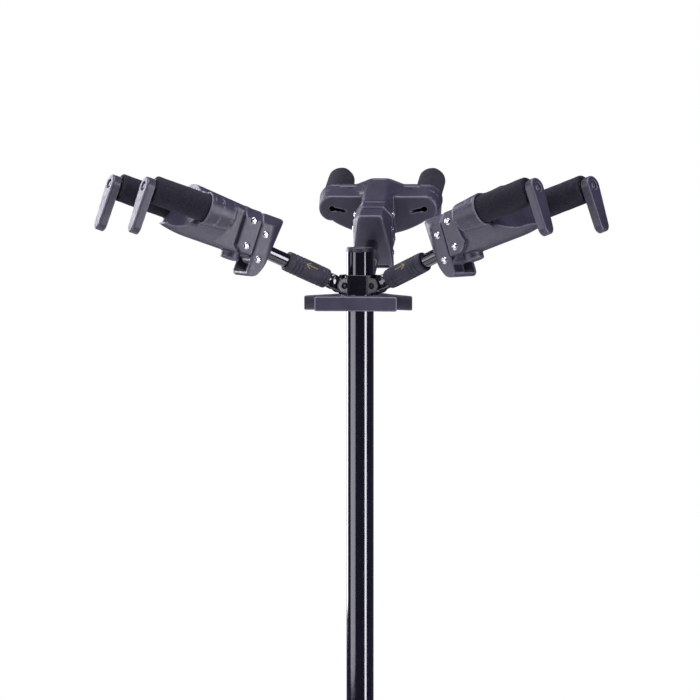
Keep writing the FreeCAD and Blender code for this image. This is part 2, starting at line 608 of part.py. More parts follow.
# ---------------------------------------------------------------- height clutch
def build_clutch():
    foot = place_at("0", "0", "ClutchFoot")
    collar = cylinder("ClutchRadius", "ClutchTall", foot)
    low_bore = cylinder("LowerTubeRadius + Slip", "LowerTubeTop - ClutchFoot", foot)
    high_bore = cylinder("TubeRadius + Slip", "ClutchTall", foot)
    ears = []
    pin_holes = []
    for side in (1, -1):
        edge = "LeverHalf + FoamGap" if side > 0 else "0 - LeverHalf - FoamGap - ClutchEarThick"
        ears.append(box("ClutchEarThick", "LeverOut + LeverNose - ClutchEarRoot", "ClutchEarTall",
                        place_at(edge, "0 - LeverOut - LeverNose", "LeverUp - ClutchEarTall / 2")))
    pin_half = "LeverHalf + FoamGap + ClutchEarThick"
    pin_hole = cylinder("PinRadius + Slip", "2 * ( %s )" % pin_half,
                        outwards("0 - ( %s )" % pin_half, "0 - LeverOut", "LeverUp"))
    slit = box("ClutchRadius", "ClutchSlit", "ClutchTall / 2",
               place_at("TubeRadius - 1", "0 - ClutchSlit / 2", "ClutchFoot + ClutchTall / 2"))
    slit.Placement = turned_to(-90) * slit.Placement
    node(cut(fuse(collar, *ears), low_bore, high_bore, pin_hole, slit), "clutch_body")
    pin = through_bolt("PinRadius", "ScrewHeadRadius", "ScrewHeadTall", pin_half + " + Slip", "0", "0")
    node(group(pin), "clutch_pin",
         Placement(Vector(0, -value("LeverOut"), value("LeverUp")), Rotation(Z_AXIS, -90)))
    nose = cylinder("LeverNose", "2 * LeverHalf", outwards("0 - LeverHalf", "0 - LeverOut", "LeverUp"))
    blade = box("2 * LeverHalf", "LeverThick", "LeverUp - LeverTip",
                place_at("0 - LeverHalf", "0 - LeverOut - LeverThick / 2 - 1", "LeverTip"))
    bore = cylinder("PinRadius + Slip", "2 * LeverHalf",
                    outwards("0 - LeverHalf", "0 - LeverOut", "LeverUp"))
    node(cut(fuse(nose, blade), bore), "clutch_lever")


# ---------------------------------------------------------------- legs, feet and their hub
def build_leg_hub():
    foot = place_at("0", "0", "LegHubFoot")
    collar = cylinder("LegHubRadius", "LegHubTall", foot)
    bore = cylinder("LowerTubeRadius + Slip", "LegHubTall", place_at("0", "0", "LowerTubeFoot"))
    ears = []
    holes = []
    bolts = []
    outer = "LegEarGap + LegEarThick"
    for azimuth in LEGS.values():
        turn = turned_to(azimuth)
        for low in ("LegEarGap", "0 - LegEarGap - LegEarThick"):
            arm = box("LegPivotOut - LowerTubeRadius - 2", "LegEarThick", "2 * LegEarRadius",
                      place_at("LowerTubeRadius + 2", low, "LegPivotUp - LegEarRadius"))
            end = cylinder("LegEarRadius", "LegEarThick", sideways("LegPivotOut", low, "LegPivotUp"))
            for item in (arm, end):
                item.Placement = turn * item.Placement
                ears.append(item)
        hole = cylinder("LegBolt + Slip", "2 * ( %s )" % outer,
                        sideways("LegPivotOut", "0 - ( %s )" % outer, "LegPivotUp"))
        hole.Placement = turn * hole.Placement
        holes.append(hole)
        bolt = through_bolt("LegBolt", "LegBoltHead", "LegBoltTall", outer + " + Slip", "LegPivotOut",
                            "LegPivotUp")
        bolt.Placement = turn
        bolts.append(bolt)
    node(cut(fuse(collar, *ears), bore, *holes), "leg_hub")
    node(group(*bolts), "leg_bolts")


def build_leg(name, azimuth):
    place = leg_place(azimuth)
    eye = cylinder("LegRadius", "2 * LegHalf", sideways("0", "0 - LegHalf", "0"))
    tongue = box("LegTongue", "2 * LegHalf", "2 * LegRadius", place_at("0", "0 - LegHalf", "0 - LegRadius"))
    tube = cylinder("LegRadius", "LegEnd - LegTongue + 4", outwards("LegTongue - 4", "0", "0"))
    inside = cylinder("LegRadius - LegWall", "LegEnd - LegTongue - 6", outwards("LegTongue + 6", "0", "0"))
    hole = cylinder("LegBolt + Slip", "2 * LegHalf", sideways("0", "0 - LegHalf", "0"))
    node(cut(fuse(eye, tongue, tube), inside, hole), "leg_" + name, place)
    sole = cylinder("FootRadius", "FootSole", place_at("FootOut", "0", "0"))
    foot_body = cylinder("FootBody", "FootTall", place_at("FootOut", "0", "0"))
    sleeve = cylinder("FootSleeve", "FootSleeveEnd - FootSleeveStart",
                      outwards("FootSleeveStart", "0", "0"))
    tube_room = cylinder("LegRadius + Slip", "LegEnd + Slip", outwards("0", "0", "0"))
    upright_leg = leg_place(0)
    sleeve.Placement = upright_leg * sleeve.Placement
    tube_room.Placement = upright_leg * tube_room.Placement
    node(cut(fuse(sole, foot_body, sleeve), tube_room), "foot_" + name, turned_to(azimuth))


# ---------------------------------------------------------------- backrests
def build_backrests():
    """Collar with three T-shaped rods, each with a foam sleeve on both halves of its bar."""
    collar = ring("RestCollarRadius", "LowerTubeRadius + Slip", "RestCollarTall",
                  place_at("0", "0", "RestFoot"))
    holes = []
    rods = []
    foams = []
    for azimuth in ARMS.values():
        turn = turned_to(azimuth)
        hole = cylinder("RestRod + Slip", "RestCollarRadius", outwards("LowerTubeRadius + 1", "0", "RestUp"))
        stem = cylinder("RestRod", "RestReach - LowerTubeRadius - 1.2",
                        outwards("LowerTubeRadius + 1.2", "0", "RestUp"))
        bar = cylinder("RestRod", "2 * RestHalf", sideways("RestReach", "0 - RestHalf", "RestUp"))
        rod = fuse(stem, bar)
        hole.Placement = turn * hole.Placement
        rod.Placement = turn
        holes.append(hole)
        rods.append(rod)
        for low in ("RestFoamStart", "0 - RestFoamEnd"):
            foam = ring("RestFoam", "RestRod + Slip", "RestFoamEnd - RestFoamStart",
                        sideways("RestReach", low, "RestUp"))
            foam.Placement = turn * foam.Placement
            foams.append(foam)
    node(cut(collar, *holes), "rest_collar")
    node(group(*rods), "rest_rods")
    node(group(*foams), "rest_foam")


# ---------------------------------------------------------------- the whole object
def build_all():
    build_column()
    build_end_plug()
    build_storage_plate()
    build_hub()
    build_clutch()
    build_leg_hub()
    build_backrests()
    for name, azimuth in LEGS.items():
        build_leg(name, azimuth)
    for name, azimuth in ARMS.items():
        build_arm(name, azimuth)
        build_lock_sleeve(name, azimuth)
        build_housing(name, azimuth)
        build_link(name, azimuth, "upper", "Slip")
        build_link(name, azimuth, "lower", "OpenPivot")
        build_screws(name, azimuth)
        build_return_spring(name, azimuth)
        build_yoke(name, azimuth)
        build_prongs(name, azimuth)
        for side_name in SIDES:
            build_gate(name, azimuth, side_name)


def check_and_write():
    doc.recompute()
    for item in doc.Objects:
        if "Invalid" in item.State or "Error" in item.State:
            raise RuntimeError("%s (%s) failed to build" % (item.Name, item.Label))
    for label, item in nodes.items():
        if item.Shape.isNull() or not item.Shape.isValid() or not item.Shape.Solids:
            raise RuntimeError("%s has no valid solid: %s" % (label, item.Shape))
    for label, item in nodes.items():
        item.Shape.exportStep("parts/%s.step" % label)
        print("%-24s %d solid(s) %9.0f mm3" % (label, len(item.Shape.Solids), item.Shape.Volume))


build_all()
check_and_write()
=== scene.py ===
"""Looks of the guitar rack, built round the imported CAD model.

Moulded and cast pieces are distance functions meshed on a fine grid, turned pieces are lathed from profiles.
Shapes are written in millimetres in the frame of their own part, and placed on the object in metres.
A head's frame has X outwards along its prongs, Y to its left and Z up across them.  The frame of an arm or a
leg has X along the tube and its origin in the hinge bolt.
"""
import math

import bpy
import numpy as np
from mathutils import Euler, Matrix, Vector


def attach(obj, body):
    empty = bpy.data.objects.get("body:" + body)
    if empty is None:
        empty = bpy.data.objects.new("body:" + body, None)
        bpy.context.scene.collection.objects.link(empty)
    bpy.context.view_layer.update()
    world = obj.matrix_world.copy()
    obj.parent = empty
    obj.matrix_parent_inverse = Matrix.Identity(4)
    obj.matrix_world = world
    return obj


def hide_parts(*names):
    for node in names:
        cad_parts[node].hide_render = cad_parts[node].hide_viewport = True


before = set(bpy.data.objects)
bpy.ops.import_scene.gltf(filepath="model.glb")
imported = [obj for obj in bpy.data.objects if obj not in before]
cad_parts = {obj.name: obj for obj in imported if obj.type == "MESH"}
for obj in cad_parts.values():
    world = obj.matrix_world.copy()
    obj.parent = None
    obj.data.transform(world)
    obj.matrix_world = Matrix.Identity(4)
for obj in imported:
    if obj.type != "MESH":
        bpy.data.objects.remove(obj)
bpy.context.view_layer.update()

MM = 0.001
ON_AXIS = 0.01
ARMS = {"rear": 90, "left": 210, "right": 330}
LEGS = {"front": 270, "right": 30, "left": 150}
SIDES = {"left": 1, "right": -1}

# ------------ sizes shared by several pieces (mm, degrees)
PLATE_LEVEL = 985
TUBE_RADIUS, TUBE_INSIDE, TUBE_TOP = 12.7, 11.2, 1031
LOWER_RADIUS, LOWER_INSIDE, LOWER_FOOT, LOWER_TOP = 15.9, 14.3, 112, 572
HEAD_TILT, ARM_TILT, LEG_SLOPE = 19, 23.5, 23.2
ARM_PIVOT_OUT, ARM_PIVOT_UP, ARM_RADIUS, ARM_END = 19.5, 14.7, 6.5, 94
LEG_PIVOT_OUT, LEG_PIVOT_UP, LEG_RADIUS, LEG_END, LEG_BORE, FOOT_OUT = 37, 143, 9.5, 312, 4.05, 330
HUB_LOW, HUB_HIGH, HUB_EAR_OUT = 108, 174, 12.1
CLUTCH_MIDDLE, CLUTCH_EAR_OUT, CLUTCH_PIN_OUT, CLUTCH_PIN_UP = 581, 10.3, 29, 594
REST_OUT, REST_UP, REST_ROD = 116, 335, 5
BLOCK_HALF, BLOCK_TOP, TOP_FLAT_HALF, SHOULDER_UP = 18.3, 46.5, 10, 37
HOUSING_FRONT, FLANGE_REAR, FLANGE_FRONT, FLANGE_FOOT = 123.9, 124.6, 141, 4
PIN_BORE = 2.05
HOUSING_PINS = ((117.2, 27.0), (117.2, 2.8))
YOKE_PINS = ((132.17, 35.47), (132.17, 11.27))
EAR_REAR, SOCKET_LIP, PRONG_HALF, PRONG_UP, EAR_ROUND = 164.4, 192.6, 44.5, 28.9, 15.4
FOAM_RADIUS, FOAM_START, FOAM_END, PRONG_RADIUS, PRONG_START = 13, 179, 245.4, 7, 171
CRANK_REAR = 167.4
GATE_REAR, GATE_FRONT = 247.4, 255.8
SLEEVE_START, SLEEVE_LENGTH, SLEEVE_RADIUS = 16, 44, 9.5
SLIP = 0.05


# ------------ distance functions
def ball_corner(a, b, radius):
    """Distance past the corner that two parts' offsets make."""
    return np.hypot(np.maximum(radius + a, 0), np.maximum(radius + b, 0))


def meet(radius, first, *rest):
    """What all parts share, with edges rounded to a radius."""
    for part in rest:
        first = np.minimum(-radius, np.maximum(first, part)) + ball_corner(first, part, radius)
    return first


def fuse(radius, first, *rest):
    """All parts together, with a fillet of a radius where they join."""
    for part in rest:
        first = np.maximum(radius, np.minimum(first, part)) - ball_corner(-first, -part, radius)
    return first


def carve(radius, first, *tools):
    """The first part with the tools cut out of it, and the cut's edges rounded."""
    return meet(radius, first, *[-tool for tool in tools])


def slab(x, low, high):
    """All between two parallel planes."""
    return np.maximum(low - x, x - high)


def disc(a, b, at_a, at_b, radius):
    """Round bar across the plane of a and b."""
    return np.hypot(a - at_a, b - at_b) - radius


def line(a, b, start, end):
    """Half-plane to the left of a line that runs from start to end."""
    da, db = end[0] - start[0], end[1] - start[1]
    return ((a - start[0]) * db - (b - start[1]) * da) / math.hypot(da, db)


def convex(a, b, corners, radius):
    """Convex outline, corners given anticlockwise, with rounded corners."""
    return meet(radius, *[line(a, b, corners[i - 1], corners[i]) for i in range(len(corners))])


def stroke(a, b, start, end, half):
    """Flat bar with round ends between two points."""
    da, db = end[0] - start[0], end[1] - start[1]
    along = np.clip(((a - start[0]) * da + (b - start[1]) * db) / (da * da + db * db), 0, 1)
    return np.hypot(a - start[0] - along * da, b - start[1] - along * db) - half


def facet(x, y, z, first, second, third):
    """Half-space behind the plane through three points, seen anticlockwise from outside."""
    normal = (Vector(second) - Vector(first)).cross(Vector(third) - Vector(first)).normalized()
    return (x - first[0]) * normal.x + (y - first[1]) * normal.y + (z - first[2]) * normal.z


def out_and_left(x, y, azimuth):
    """Plan coordinates turned so that the first runs outwards along an azimuth."""
    c, s = math.cos(math.radians(azimuth)), math.sin(math.radians(azimuth))
    return x * c + y * s, y * c - x * s


# ------------ meshing
def slope(shape, points, reach=0.02):
    """Gradient of a distance function at some points."""
    steps = np.eye(3) * reach
    rise = [shape(*(points + step).T) - shape(*(points - step).T) for step in steps]
    return np.stack(rise, 1) / (2 * reach)


def skin(shape, low, high, step):
    """Points and faces of a distance function's zero level: a point in each crossed cell, pulled onto it."""
    axes = [np.arange(start, end + step, step) for start, end in zip(low, high)]
    field = np.broadcast_to(shape(*np.meshgrid(*axes, indexing="ij", sparse=True)), [len(a) for a in axes])
    inside = field < 0
    cells = [len(a) - 1 for a in axes]
    total = np.zeros((*cells, 3))
    count = np.zeros(cells, int)
    crossings = []
    for axis in range(3):
        near_end = [slice(None)] * 3
        far_end = [slice(None)] * 3
        near_end[axis], far_end[axis] = slice(0, -1), slice(1, None)
        crossed = inside[tuple(near_end)] != inside[tuple(far_end)]
        at = np.argwhere(crossed)
        a, b = field[tuple(near_end)][crossed], field[tuple(far_end)][crossed]
        spot = at.astype(float)
        spot[:, axis] += a / (a - b)
        across, up = (axis + 1) % 3, (axis + 2) % 3
        corner_cells = []
        for back_across, back_up in ((1, 1), (0, 1), (0, 0), (1, 0)):
            cell = at.copy()
            cell[:, across] -= back_across
            cell[:, up] -= back_up
            corner_cells.append(cell)
            real = ((cell >= 0) & (cell < cells)).all(1)
            index = tuple(cell[real].T)
            np.add.at(total, index, spot[real])
            np.add.at(count, index, 1)
        crossings.append((corner_cells, a < 0))
    used = count > 0
    number = np.full(cells, -1)
    number[used] = np.arange(used.sum())
    points = total[used] / count[used][:, None] * step + np.array([a[0] for a in axes])
    for _ in range(3):
        gradient = slope(shape, points)
        distance = shape(*points.T)
        pull = gradient * (distance / np.maximum((gradient ** 2).sum(1), 0.2))[:, None]
        points = points - np.clip(pull, -step / 2, step / 2)
    faces = []
    for corner_cells, outwards in crossings:
        whole = np.all([((cell >= 0) & (cell < cells)).all(1) for cell in corner_cells], 0)
        quads = np.stack([number[tuple(cell[whole].T)] for cell in corner_cells], 1)
        outwards = outwards[whole]
        faces.append(np.where(outwards[:, None], quads, quads[:, ::-1]))
    return points, np.concatenate(faces)


def lathe(profile, around=96, axis="X"):
    """Turn a profile of (along, radius) points, which runs anticlockwise, about an axis to its right."""
    profile = np.array(profile, float)
    angles = np.linspace(0, 2 * math.pi, around, endpoint=False)
    along = np.repeat(profile[:, 0], around)
    across = np.outer(profile[:, 1], np.cos(angles)).ravel()
    up = np.outer(profile[:, 1], np.sin(angles)).ravel()
    order = {"X": (along, across, up), "Z": (across, up, along), "Y": (up, along, across)}[axis]
    rows = len(profile)
    ring, turn = np.meshgrid(np.arange(rows), np.arange(around), indexing="ij")
    follow, beside = (ring + 1) % rows, (turn + 1) % around
    corners = ((ring, turn), (ring, beside), (follow, beside), (follow, turn))
    quads = np.stack([row * around + column for row, column in corners], -1).reshape(-1, 4)
    return np.stack(order, 1), quads


def rounded(corners, radius, steps=5):
    """A closed profile's corners replaced by small arcs; a corner may carry its own radius."""
    result = []
    count = len(corners)
    for i in range(count):
        own = corners[i][2] if len(corners[i]) > 2 else radius
        here = Vector(corners[i][:2])
        back = Vector(corners[i - 1][:2]) - here
        ahead = Vector(corners[(i + 1) % count][:2]) - here
        cut = min(own, back.length * 0.49, ahead.length * 0.49)
        if cut < 1e-3:
            result.append(tuple(here))
            continue
        start, end = here + back.normalized() * cut, here + ahead.normalized() * cut
        for k in range(steps + 1):
            t = k / steps
            result.append(tuple(start * (1 - t) ** 2 + here * (2 * t * (1 - t)) + end * t ** 2))
    return result


def plain_bar(start, end, radius):
    """Profile of a solid round bar."""
    return [(start, ON_AXIS), (start, radius), (end, radius), (end, ON_AXIS)]


def flipped(form):
    """A form with its faces turned the other way round."""
    points, faces = form
    return points, faces[:, ::-1]


def moved(form, matrix):
    """A form's points through a matrix in millimetres."""
    points, faces = form
    return points @ np.array(matrix.to_3x3()).T + np.array(matrix.translation), faces


def shift(x, y, z):
    """Move in millimetres, for a form that isn't on the object yet."""
    return Matrix.Translation((x, y, z))


def facing(side):
    """Turn from +Z to the left or the right."""
    return Matrix.Rotation(math.radians(-90 * side), 4, "X")


def offset(x, y, z):
    """Move in metres, given in millimetres, for a piece on the object."""
    return Matrix.Translation(Vector((x, y, z)) * MM)


def shown(item):
    """Put a new object in the scene."""
    bpy.context.scene.collection.objects.link(item)
    return item


def piece(name, material, place, *forms):
    """One object from one or more forms, in millimetres in the frame that place puts on the object."""
    points = np.concatenate([form[0] for form in forms]) * MM
    starts = np.cumsum([0] + [len(form[0]) for form in forms[:-1]])
    faces = np.concatenate([form[1] + start for form, start in zip(forms, starts)])
    mesh = bpy.data.meshes.new(name)
    mesh.from_pydata(points.tolist(), [], faces.tolist())
    mesh.polygons.foreach_set("use_smooth", np.ones(len(faces), bool))
    mesh.set_sharp_from_angle(angle=math.radians(50))
    mesh.materials.append(material)
    mesh.update()
    item = shown(bpy.data.objects.new(name, mesh))
    item.matrix_world = place
    return item


def twin(name, original, place):
    """Another object with the same mesh."""
    item = shown(bpy.data.objects.new(name, original.data))
    item.matrix_world = place
    return item


FIRST_OF_STEM = {}


def shared(stem, name, material, place, *forms):
    """A piece whose mesh is made the first time and used again by the others of its stem."""
    if stem in FIRST_OF_STEM:
        return twin(stem + name, FIRST_OF_STEM[stem], place)
    FIRST_OF_STEM[stem] = piece(stem + name, material, place, *forms)
    return FIRST_OF_STEM[stem]


def fit(item, body, slot, *nodes):
    """Put a piece on its body in place of CAD nodes; the slot argument is not used."""
    bpy.context.view_layer.update()
    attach(item, body)
    if nodes:
        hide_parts(*nodes)
    return item


# ------------ places
def turned_to(azimuth):
    """Turn from +X to an azimuth."""
    return Matrix.Rotation(math.radians(azimuth), 4, "Z")


def tilted(out, up, angle):
    """Frame at a distance from the column, tipped about its own Y."""
    return offset(out, 0, up) @ Matrix.Rotation(math.radians(angle), 4, "Y")


def head_place(azimuth):
    """Frame of a head: X outwards along the prongs."""
    return turned_to(azimuth) @ tilted(0, PLATE_LEVEL, -HEAD_TILT)


def arm_place(azimuth):
    """Frame of an arm, with its origin in the hinge bolt."""
    return turned_to(azimuth) @ tilted(ARM_PIVOT_OUT, PLATE_LEVEL + ARM_PIVOT_UP, -ARM_TILT)


def leg_place(azimuth):
    """Frame of a leg, with its origin in the hinge bolt."""
    return turned_to(azimuth) @ tilted(LEG_PIVOT_OUT, LEG_PIVOT_UP, LEG_SLOPE)


# ------------ materials
class Finish:
    """A Principled material with helpers for its procedural parts."""

    def __init__(self, name, **sockets):
        """Start from a Principled shader with some sockets set."""
        self.material = bpy.data.materials.new(name)
        self.material.use_nodes = True
        self.nodes = self.material.node_tree.nodes
        self.shader = self.nodes["Principled BSDF"]
        for socket, number in sockets.items():
            self.shader.inputs[socket.replace("_", " ")].default_value = number
        self.place = self.add("ShaderNodeTexCoord").outputs["Object"]

    def add(self, kind, **inputs):
        """New node with some inputs set."""
        made = self.nodes.new(kind)
        for socket, number in inputs.items():
            made.inputs[socket.replace("_", " ")].default_value = number
        return made

    def join(self, source, target):
        """Link an output to an input."""
        self.material.node_tree.links.new(source, target)

    def noise(self, per_metre, detail=3, stretch=None):
        """Cloudy 0 to 1 pattern."""
        made = self.add("ShaderNodeTexNoise", Scale=per_metre, Detail=detail, Roughness=0.55)
        self.join(self.stretched(stretch), made.inputs["Vector"])
        return made.outputs["Fac"]

    def cells(self, per_metre):
        """Distance to the nearest of scattered points."""
        made = self.add("ShaderNodeTexVoronoi", Scale=per_metre)
        self.join(self.place, made.inputs["Vector"])
        return made.outputs["Distance"]

    def stretched(self, stretch):
        """Object coordinates, scaled by axis where asked for."""
        if stretch is None:
            return self.place
        made = self.add("ShaderNodeMapping", Scale=stretch)
        self.join(self.place, made.inputs["Vector"])
        return made.outputs["Vector"]

    def ramp(self, source, low, high, start, end):
        """Map a 0 to 1 source, between two of its values, onto two colours or numbers."""
        made = self.add("ShaderNodeValToRGB")
        for stop, where, shade in zip(made.color_ramp.elements, (low, high), (start, end)):
            stop.position = where
            stop.color = (*shade, 1) if isinstance(shade, tuple) else (shade, shade, shade, 1)
        self.join(source, made.inputs["Fac"])
        return made.outputs["Color"]

    def colour(self, source, low, high, start, end, worn=None):
        """Base colour between two shades; a worn shade shows on convex edges."""
        shade = self.ramp(source, low, high, start, end)
        if worn:
            edges = self.ramp(self.add("ShaderNodeNewGeometry").outputs["Pointiness"], 0.51, 0.55, 0.0, 1.0)
            mix = self.add("ShaderNodeMix")
            mix.data_type = "RGBA"
            self.join(edges, mix.inputs["Factor"])
            self.join(shade, mix.inputs[6])
            mix.inputs[7].default_value = (*worn, 1)
            shade = mix.outputs[2]
        self.join(shade, self.shader.inputs["Base Color"])
        return self

    def rough(self, source, low, high, start, end):
        """Roughness between two values."""
        self.join(self.ramp(source, low, high, start, end), self.shader.inputs["Roughness"])
        return self

    def bump(self, *layers):
        """Relief in metres from (source, depth) layers."""
        normal = None
        for source, depth in layers:
            made = self.add("ShaderNodeBump", Strength=1.0, Distance=depth)
            self.join(source, made.inputs["Height"])
            if normal:
                self.join(normal, made.inputs["Normal"])
            normal = made.outputs["Normal"]
        self.join(normal, self.shader.inputs["Normal"])
        return self


def moulding():
    """Spark-eroded black nylon: fine grain, soft gloss, polished and paler on its edges."""
    made = Finish("moulding", Specular_IOR_Level=0.55, Coat_Weight=0.12, Coat_Roughness=0.35)
    cloud, grain = made.noise(38, 4), made.noise(2600, 2)
    made.colour(cloud, 0.3, 0.7, (0.021, 0.020, 0.034), (0.033, 0.031, 0.051), worn=(0.11, 0.105, 0.145))
    made.rough(made.noise(260, 3), 0.3, 0.7, 0.36, 0.50)
    return made.bump((cloud, 0.0002), (grain, 0.00008)).material


def plate_plastic():
    """Injection-moulded plastic of the plate, clutch and hub, a little paler than the heads."""
    made = Finish("plate_plastic", Specular_IOR_Level=0.5)
    made.colour(made.noise(60, 4), 0.3, 0.7, (0.034, 0.033, 0.051), (0.049, 0.047, 0.072),
                worn=(0.17, 0.165, 0.21))
    made.rough(made.noise(400, 3), 0.3, 0.7, 0.38, 0.52)
    return made.bump((made.noise(3000, 2), 0.00006)).material


def gloss_tube():
    """Black gloss enamel over steel: a very slight orange peel and faint handling haze."""
    made = Finish("gloss_tube", Specular_IOR_Level=0.5, Coat_Weight=1.0, Coat_Roughness=0.06, Coat_IOR=1.5)
    made.colour(made.noise(30, 3), 0.35, 0.65, (0.0025, 0.0025, 0.006), (0.004, 0.004, 0.009),
                worn=(0.012, 0.012, 0.02))
    made.rough(made.noise(90, 5), 0.35, 0.7, 0.08, 0.2)
    return made.bump((made.noise(700, 1), 0.000012)).material


def satin_black():
    """Powder coat on the hub's sheets: the same black as the tubes with a softer shine."""
    made = Finish("satin_black", Specular_IOR_Level=0.5)
    made.colour(made.noise(60, 3), 0.35, 0.65, (0.0025, 0.0025, 0.005), (0.005, 0.005, 0.009),
                worn=(0.03, 0.03, 0.04))
    made.rough(made.noise(500, 4), 0.35, 0.7, 0.26, 0.36)
    return made.bump((made.noise(1800, 2), 0.00003)).material


def foam():
    """Closed-cell foam rubber: open pores on a dull skin."""
    made = Finish("foam", Specular_IOR_Level=0.18, Sheen_Weight=0.04, Sheen_Roughness=0.6)
    pores = made.ramp(made.cells(1500), 0.12, 0.42, 0.0, 1.0)
    made.colour(made.noise(900, 5), 0.35, 0.7, (0.008, 0.0075, 0.0125), (0.021, 0.020, 0.031))
    made.rough(made.noise(300, 3), 0.3, 0.7, 0.82, 0.98)
    return made.bump((pores, 0.00016), (made.noise(240, 4), 0.0006)).material


def rubber(name, dark, pale, fine):
    """Dull moulded rubber, paler where its edges are rubbed."""
    made = Finish(name, Specular_IOR_Level=0.4)
    made.colour(made.noise(120, 5), 0.3, 0.7, dark, pale, worn=tuple(2.2 * c for c in pale))
    made.rough(made.noise(500, 3), 0.3, 0.7, 0.55, 0.75)
    return made.bump((made.noise(fine, 3), 0.00012)).material


def metal(name, dark, pale, low, high, brushed):
    """Bare or plated metal with fine marks along one direction."""
    made = Finish(name, Metallic=1.0)
    marks = made.noise(180, 4, stretch=brushed)
    made.colour(made.noise(200, 4), 0.3, 0.7, dark, pale)
    made.rough(marks, 0.3, 0.7, low, high)
    return made.bump((marks, 0.00001)).material


def arrow_paint():
    """Faded ochre pad print."""
    made = Finish("arrow_paint", Specular_IOR_Level=0.4)
    made.colour(made.noise(900, 3), 0.35, 0.65, (0.22, 0.17, 0.05), (0.33, 0.26, 0.09))
    made.rough(made.noise(700, 3), 0.3, 0.7, 0.4, 0.6)
    return made.bump((made.noise(2500, 2), 0.00004)).material


MOULDING, PLATE, GLOSS, SATIN, FOAM = moulding(), plate_plastic(), gloss_tube(), satin_black(), foam()
GRIP = rubber("grip_rubber", (0.018, 0.0175, 0.026), (0.032, 0.031, 0.046), 2200)
FOOT = rubber("foot_rubber", (0.012, 0.012, 0.014), (0.024, 0.024, 0.028), 1600)
CHROME = metal("screw_chrome", (0.55, 0.55, 0.57), (0.72, 0.72, 0.74), 0.12, 0.24, (1, 6, 6))
STEEL = metal("plain_steel", (0.38, 0.38, 0.40), (0.55, 0.55, 0.57), 0.25, 0.42, (1, 8, 8))
# Black oxide of the bolts and prongs. The gates' steel spindles and cranks wear it too, kept this dark as
# painted shade so the ears' insides read black.
BLACK_BOLT_AND_SHADE = metal("black_bolt", (0.012, 0.012, 0.015), (0.028, 0.028, 0.033), 0.34, 0.5, (6, 1, 6))
ARROW = arrow_paint()


# ------------ head: the housing and the yoke
def block_outline(y, z, inset=0.0):
    """Cross-section that the housing and the yoke's flange share: straight sides and bevelled top corners."""
    bevel = line(y, z, (BLOCK_HALF, SHOULDER_UP), (TOP_FLAT_HALF, BLOCK_TOP))
    return meet(1.0, y - BLOCK_HALF, bevel, z - BLOCK_TOP) + inset


def housing_shape(x, y, z):
    """Hollow block, open in front, with a leaning back whose upper corners are cut off."""
    y = np.abs(y)
    back_top, back_foot, bottom = (100.6, BLOCK_TOP), (109.2, -5.4), -14.2
    side = convex(x, z, [(HOUSING_FRONT, bottom), (HOUSING_FRONT, BLOCK_TOP), back_top, back_foot,
                         (115.5, bottom)], 4.2)
    corner = facet(x, y, z, (108.3, BLOCK_HALF, 0), (101, 11, 44), (112, BLOCK_HALF, 40))
    body = meet(1.5, side, block_outline(y, z), corner)
    wall, inside_back = 3.0, 112.4
    inside = meet(1.0, block_outline(y, z, wall), inside_back - x, bottom + wall - z)
    bores = [disc(x, z, *pin, PIN_BORE) for pin in HOUSING_PINS]
    return carve(0.5, body, inside, *bores)


def spine_outline(x, y, z):
    """Ridge from the flange to the hump, whose top rises and whose flanks spread towards the sockets."""
    along = np.clip((x - FLANGE_FRONT) / (SOCKET_LIP - FLANGE_FRONT), 0, 1)
    flat, top = TOP_FLAT_HALF - 1.5 * along, BLOCK_TOP + 4 * along
    foot, foot_up = BLOCK_HALF + 7 * along, SHOULDER_UP + 6.5 * along
    long = np.hypot(foot - flat, top - foot_up)
    flank = ((y - flat) * (top - foot_up) + (z - top) * (foot - flat)) / long
    side = y - 14 - 0.6 * np.maximum(x - EAR_REAR, 0)
    return meet(1.2, flank, z - top, side)


def ear_radius(x):
    """The ears grow from their back to the mouth of the foam socket."""
    return EAR_ROUND - 2.6 * np.clip((SOCKET_LIP - x) / (SOCKET_LIP - EAR_REAR), 0, 1)


def under(x, y, z):
    """Positive below the yoke's underside, which curves up from the middle to the ears and to the bow."""
    aside = np.clip(y / PRONG_HALF, 0, 1)
    ahead = np.clip((x - 182) / 29, 0, 1)
    return 0.95 * (2.2 + (PRONG_UP - ear_radius(x) - 2.2) * aside ** 2 + 4.0 * ahead ** 2 - z)


def ear_outline(x, y, z):
    """Round socket end and the wing that joins it to the middle, with a shallow dip in its top."""
    radius = ear_radius(x)
    dip = 2.0 * np.exp(-((y - 28) / 8) ** 2) * np.clip((x - 164) / 28, 0, 1)
    wing = meet(1.0, z - PRONG_UP - radius + dip, y - PRONG_HALF, -z)
    return np.minimum(wing, np.hypot(y - PRONG_HALF, z - PRONG_UP) - radius)


def keel_shape(x, y, z):
    """Scooped bow in front of the sockets, on which the instrument's head rests."""
    bow = 21 * (np.hypot((x - 187) / 24, y / 40) - 1)
    hull = meet(1.6, bow, under(x, y, z), z - 44)
    scoop_floor, scoop_back = 29, 194.2
    dish = 12 * (np.hypot((x - 206) / 12, (z - scoop_floor) / 22) - 1)
    scoop = np.minimum(dish, np.maximum(scoop_floor - z, scoop_back - x))
    return carve(0.9, np.maximum(hull, 186 - x), scoop)


def neck_shape(x, y, z, one_side):
    """Flange that closes the housing's mouth, with a small beak on one of its sides."""
    plate = convex(x, z, [(FLANGE_FRONT, 9), (FLANGE_FRONT, BLOCK_TOP), (FLANGE_REAR, BLOCK_TOP),
                          (FLANGE_REAR, FLANGE_FOOT), (134.5, FLANGE_FOOT)], 0.6)
    beak = convex(x, z, [(144.6, 13), (140, 24), (130, 26), (130, 6), (137, 5)], 0.6)
    return meet(0.9, np.where(one_side, fuse(3, plate, beak), plate), block_outline(y, z))


